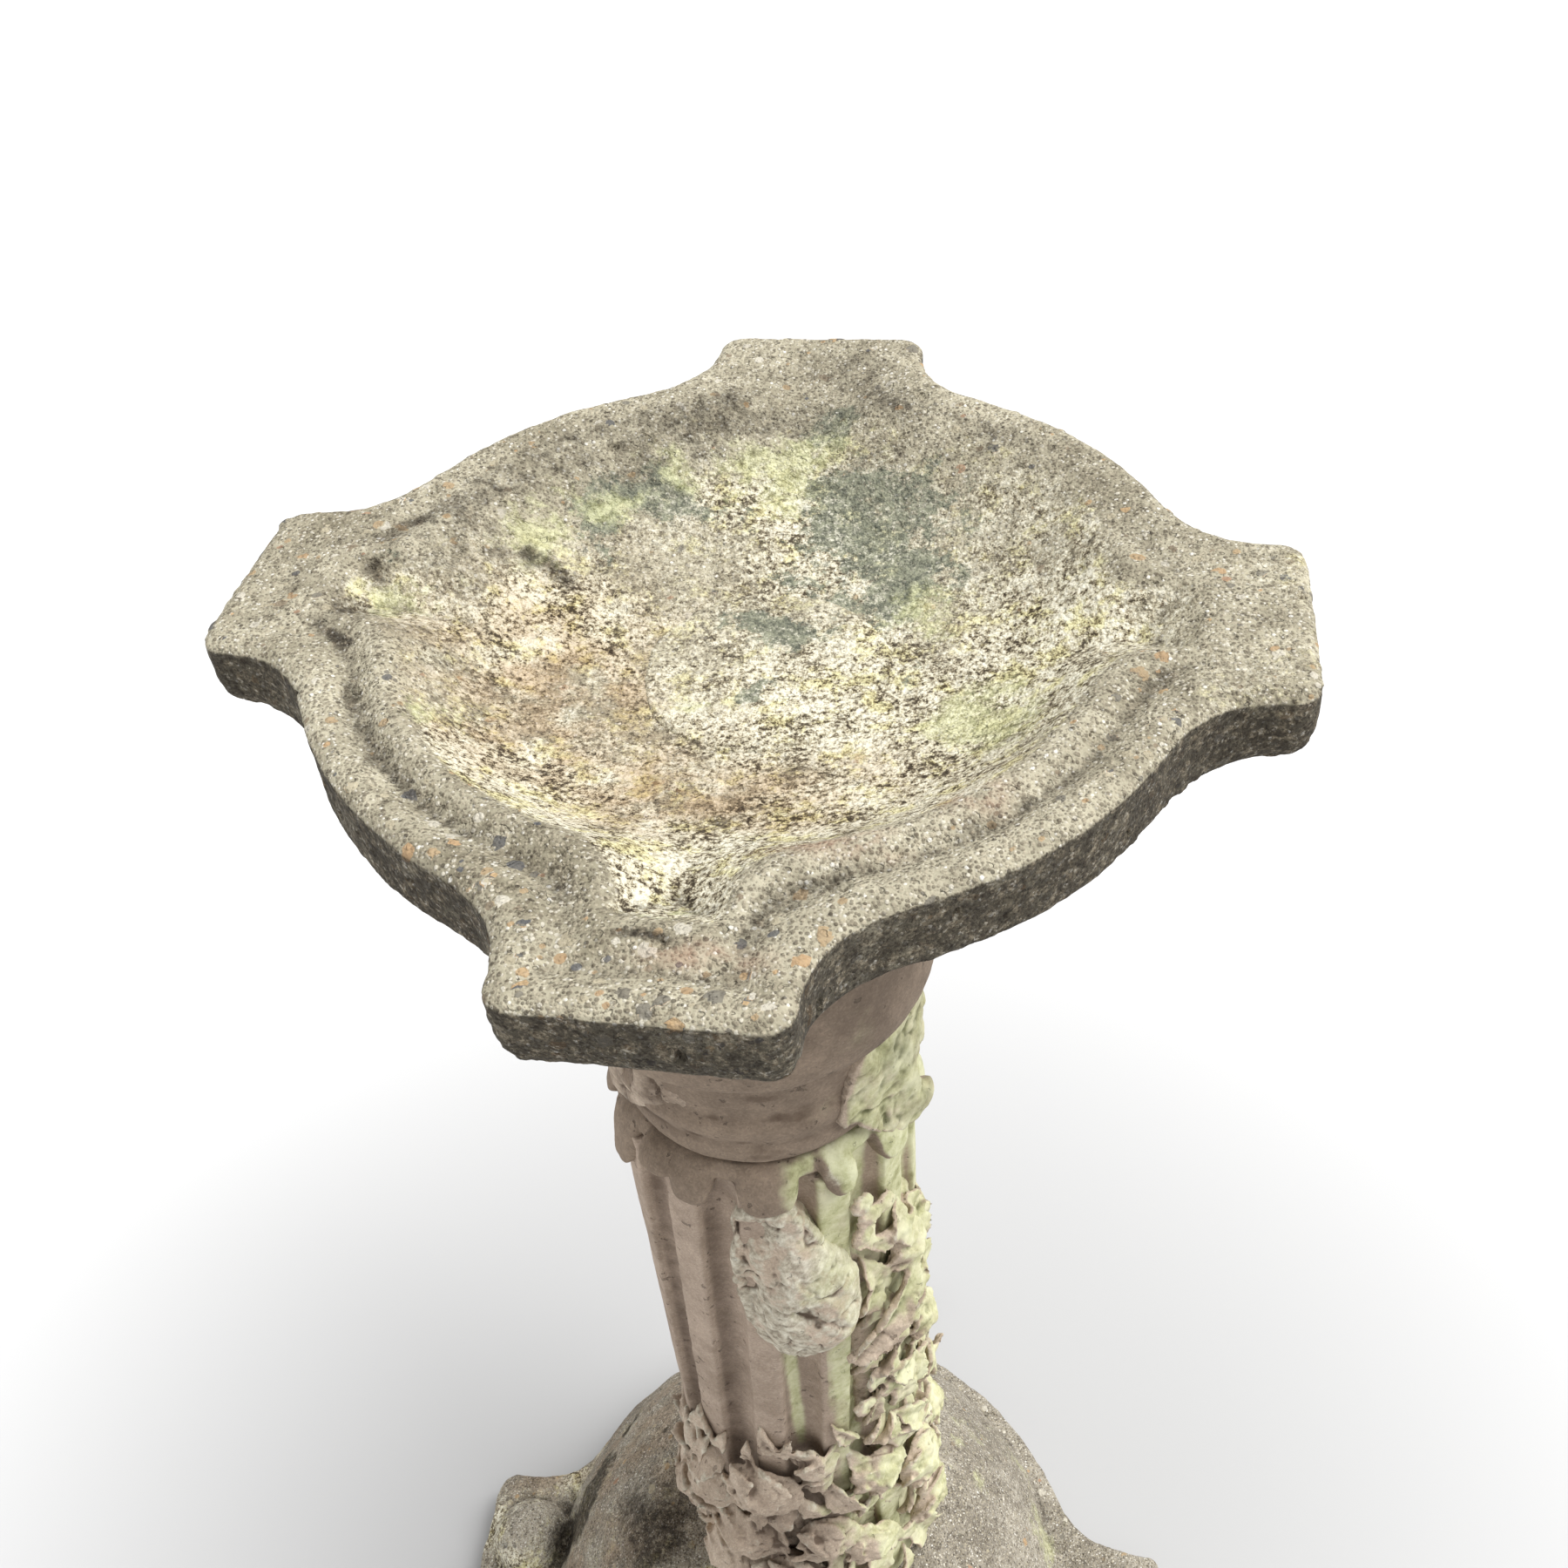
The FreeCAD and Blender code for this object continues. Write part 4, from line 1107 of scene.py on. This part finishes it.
def make_wreath(material):
    """Roses among crowded leaves round the column's foot, standing over a rough dark ground."""
    rng = np.random.default_rng(7)
    rows, columns, pitch = 11, 19, 19  # pitch in degrees
    parts = [lumpy_core((0, 359), low=142, high=285, radius=67, lump=4.5, seed=201)]
    for row in range(rows):
        for k in range(columns):
            azimuth = -180 + pitch * (k + 0.5 * (row % 2)) + rng.uniform(-5, 5)
            height = 154 + 20 * row + rng.uniform(-7, 7)
            if height > wreath_top(azimuth) - 10 or under_rose(azimuth, height, ROSES):
                continue
            roll, length, stand = (rng.uniform(*pair) for pair in ((-170, 170), (22, 38), (69, 77)))
            parts.append(crowded_leaf(rng, azimuth, height, length, roll, stand, (0.5, 0.8),
                                      (-0.4, 0.3), (0.3, 1.2), (-0.2, 0.6), (-0.4, 0.4)))
    for azimuth, height, size in ROSES:
        parts += placed_rose(size, azimuth, height, 74, rng.uniform(0, 6), rng.uniform(-0.3, 0.3))
    for azimuth, height, length, roll in SPRAYS:
        parts.append(placed_leaf(azimuth, height, length, roll, 71, 0.34, 0.15, 0.3, 0.5))
    wreath = Casting("rose_wreath", parts, 1.05)
    wreath.wear(1, 0.5)
    wreath.roughen((0.8, 8, 111), cracks=(0.8, 12, 112))
    degrees = np.degrees(azimuth_of(wreath.points))
    # Painted shade and light by side: the front and right get more of the dark mark, and the left less of
    # it and more of the pale one.
    front, left = ease(degrees, -114, -102) * ease(-degrees, 56, 72), ease(-degrees, 104, 116)
    shade = 0.42 * front - 0.35 * left + 0.1 * wreath.rough(12, 113)
    stain_and_shade_column(wreath, worn=0.3 + 0.1 * left, dirt_and_shade=0.85, hollow_depth=2.0, green=0.8, shade=shade)
    wreath.done(material, "pedestal", "foot_roses", "relief_stone")


# Leaves of the garland: (azimuth, height, length, lean to the right, distance from the axis).
GARLAND = (
    (-38, 558, 22, 200, 70), (-41, 546, 20, 60, 70), (-36, 534, 24, -70, 73), (-27, 540, 24, 30, 74),
    (-20, 528, 28, 110, 76), (-10, 518, 32, 160, 78), (-2, 512, 28, 60, 77), (-30, 520, 26, 200, 75),
    (-42, 516, 24, -20, 73), (-14, 502, 30, 200, 78), (-22, 506, 28, 20, 76), (-43, 500, 26, 40, 73),
    (-32, 500, 28, 130, 75), (-4, 490, 34, 175, 79), (-24, 486, 30, 70, 76), (-13, 478, 32, 150, 78),
    (-33, 470, 26, 170, 74), (-44, 470, 24, 200, 72), (-20, 462, 28, 240, 77), (-6, 460, 30, 190, 77),
    (-28, 452, 24, 20, 75), (-40, 446, 28, 160, 74), (-14, 442, 28, 100, 76), (-46, 430, 24, 230, 72),
    (-24, 432, 30, 190, 75), (-4, 428, 28, 150, 75), (-34, 420, 26, 60, 74), (-42, 408, 28, 170, 73),
    (-16, 412, 26, 215, 75), (-26, 404, 28, 110, 75), (-8, 398, 30, 165, 75), (-36, 392, 28, 200, 74),
    (-46, 386, 26, 140, 73), (-20, 386, 28, 20, 75), (-30, 374, 30, 190, 75), (-10, 374, 30, 130, 75),
    (-42, 366, 28, 60, 74), (-2, 362, 28, 200, 75),
)
# Its roses and buds: (azimuth, height, radius).
BUDS = ((-24, 514, 14), (-32, 452, 12), (-12, 424, 14), (-44.5, 574, 6), (-42, 562, 7), (-45, 550, 6),
        (-33, 562, 6))


def make_garland(material):
    """Leaves, a few small roses and one long blade in a band down the column's right side."""
    rng = np.random.default_rng(23)
    parts = [lumpy_core((-50, 8), low=352, high=540, radius=66, lump=4, seed=211)]
    for azimuth, height, length, roll, stand in GARLAND:
        if under_rose(azimuth, height, BUDS):
            continue
        highest = 77 if azimuth < -12 else 74
        stand = min(stand, highest) - rng.uniform(0, 3)
        parts.append(crowded_leaf(rng, azimuth, height, length, roll, stand, (0.55, 0.8),
                                  (-0.3, 0.15), (0.3, 1.0), (-0.1, 0.5), (-0.3, 0.3)))
    parts.append(placed_leaf(-38, 492, 74, 48, 82, 0.24, 0.0, 0.15, 0.6, 0.35))
    for azimuth, height, size in BUDS:
        parts += placed_rose(size, azimuth, height, 67 + 0.45 * size, rng.uniform(0, 6))
    garland = Casting("garland", parts, 0.95)
    garland.wear(1, 0.5)
    garland.roughen((0.8, 8, 121), cracks=(0.8, 12, 122))
    stain_and_shade_column(garland, worn=0.3, dirt_and_shade=0.9, hollow_depth=2.0, green=0.8, shade=0.08)
    garland.done(material, "pedestal", "rose_garland", "relief_stone")


# ---- build

column_look = cast_stone("pedestal_stone", (180, 164, 150), (141, 126, 112), 0.25)
# A darker copy of the column's stone for the capital and the collar: painted shade under the bowl.
shaded_capital_look = cast_stone("capital_stone", (148, 133, 118), (112, 99, 87), 0.25)
relief_look = cast_stone("relief_stone", (204, 190, 174), (164, 149, 134), 0.30)

make_bowl(aggregate("bowl_aggregate", (132, 125, 105), (195, 188, 165)))
make_patch(aggregate("patch_mortar", (150, 143, 121), (200, 193, 170)))
make_plinth(aggregate("plinth_aggregate", (118, 111, 100), (178, 171, 157)))
make_shaft(column_look)
make_capital(shaded_capital_look)
make_collar(shaded_capital_look)
make_acanthus(relief_look)
make_drop(relief_look)
make_garland(relief_look)
make_wreath(relief_look)


# ---- floor, light and camera


def make_floor():
    """A white floor half a millimetre under the object, greyer near it: a painted shadow round the object.
    """
    size, height = 12.0, -0.5 * MM
    s = Shader("floor")
    away = s.node("VectorMath", 1, {"operation": "LENGTH"}, i0=s.place)
    # Painted shadow: the floor's colour is darker near the object and paler further off.
    s.tree.links.new(s.span(away, 0.2, 1.0, 0.475, 0.72), s.surface.inputs["Base Color"])
    s.surface.inputs["Roughness"].default_value = 1.0
    s.surface.inputs["Specular IOR Level"].default_value = 0.0
    mesh = bpy.data.meshes.new("floor")
    corners = [(-size, -size), (size, -size), (size, size), (-size, size)]
    mesh.from_pydata([(x, y, height) for x, y in corners], [], [(0, 1, 2, 3)])
    mesh.materials.append(s.material)
    put("floor", mesh)


def make_sun(name, towards, power, softness):
    """A sun that stands in a direction. softness is its width in radians."""
    data = bpy.data.lights.new(name, "SUN")
    data.energy = power
    data.angle = softness
    lamp = put(name, data)
    lamp.rotation_mode = "QUATERNION"
    lamp.rotation_quaternion = (-Vector(towards)).to_track_quat("-Z", "Y")


def make_light():
    """An overcast sky, brighter above and behind to the right, and a weaker glow from the left."""
    world = bpy.data.worlds.new("studio")
    world.use_nodes = True
    background = world.node_tree.nodes["Background"]
    background.inputs["Color"].default_value = (1, 1, 1, 1)
    background.inputs["Strength"].default_value = 0.46
    bpy.context.scene.world = world
    make_sun("key", (0.62, 0.12, 1.0), 4.4, 0.9)
    make_sun("left_glow", (-1.0, -0.35, 0.35), 0.7, 0.9)


def make_camera():
    """A normal view from the front, above the rim. Its place is in bowl reaches from the rim."""
    data = bpy.data.cameras.new("camera")
    data.sensor_width = 36
    data.lens = 36
    data.clip_start = 0.02
    camera = put("camera", data)
    rim = Vector((BOWL.x, BOWL.y, RIM))
    camera.location = rim + REACH * Vector((0.5337, -2.3452, 1.725))
    ahead = Vector((-0.1574, 0.7165, -0.6796)).normalized()
    right = Vector((0.9859, 0.1536, -0.0665))
    right = (right - ahead * right.dot(ahead)).normalized()
    above = right.cross(ahead)
    turn = Matrix((right, above, -ahead)).transposed()
    camera.rotation_mode = "QUATERNION"
    camera.rotation_quaternion = turn.to_quaternion()
    bpy.context.scene.camera = camera


make_floor()
make_light()
make_camera()
bpy.context.scene.view_settings.view_transform = "Standard"
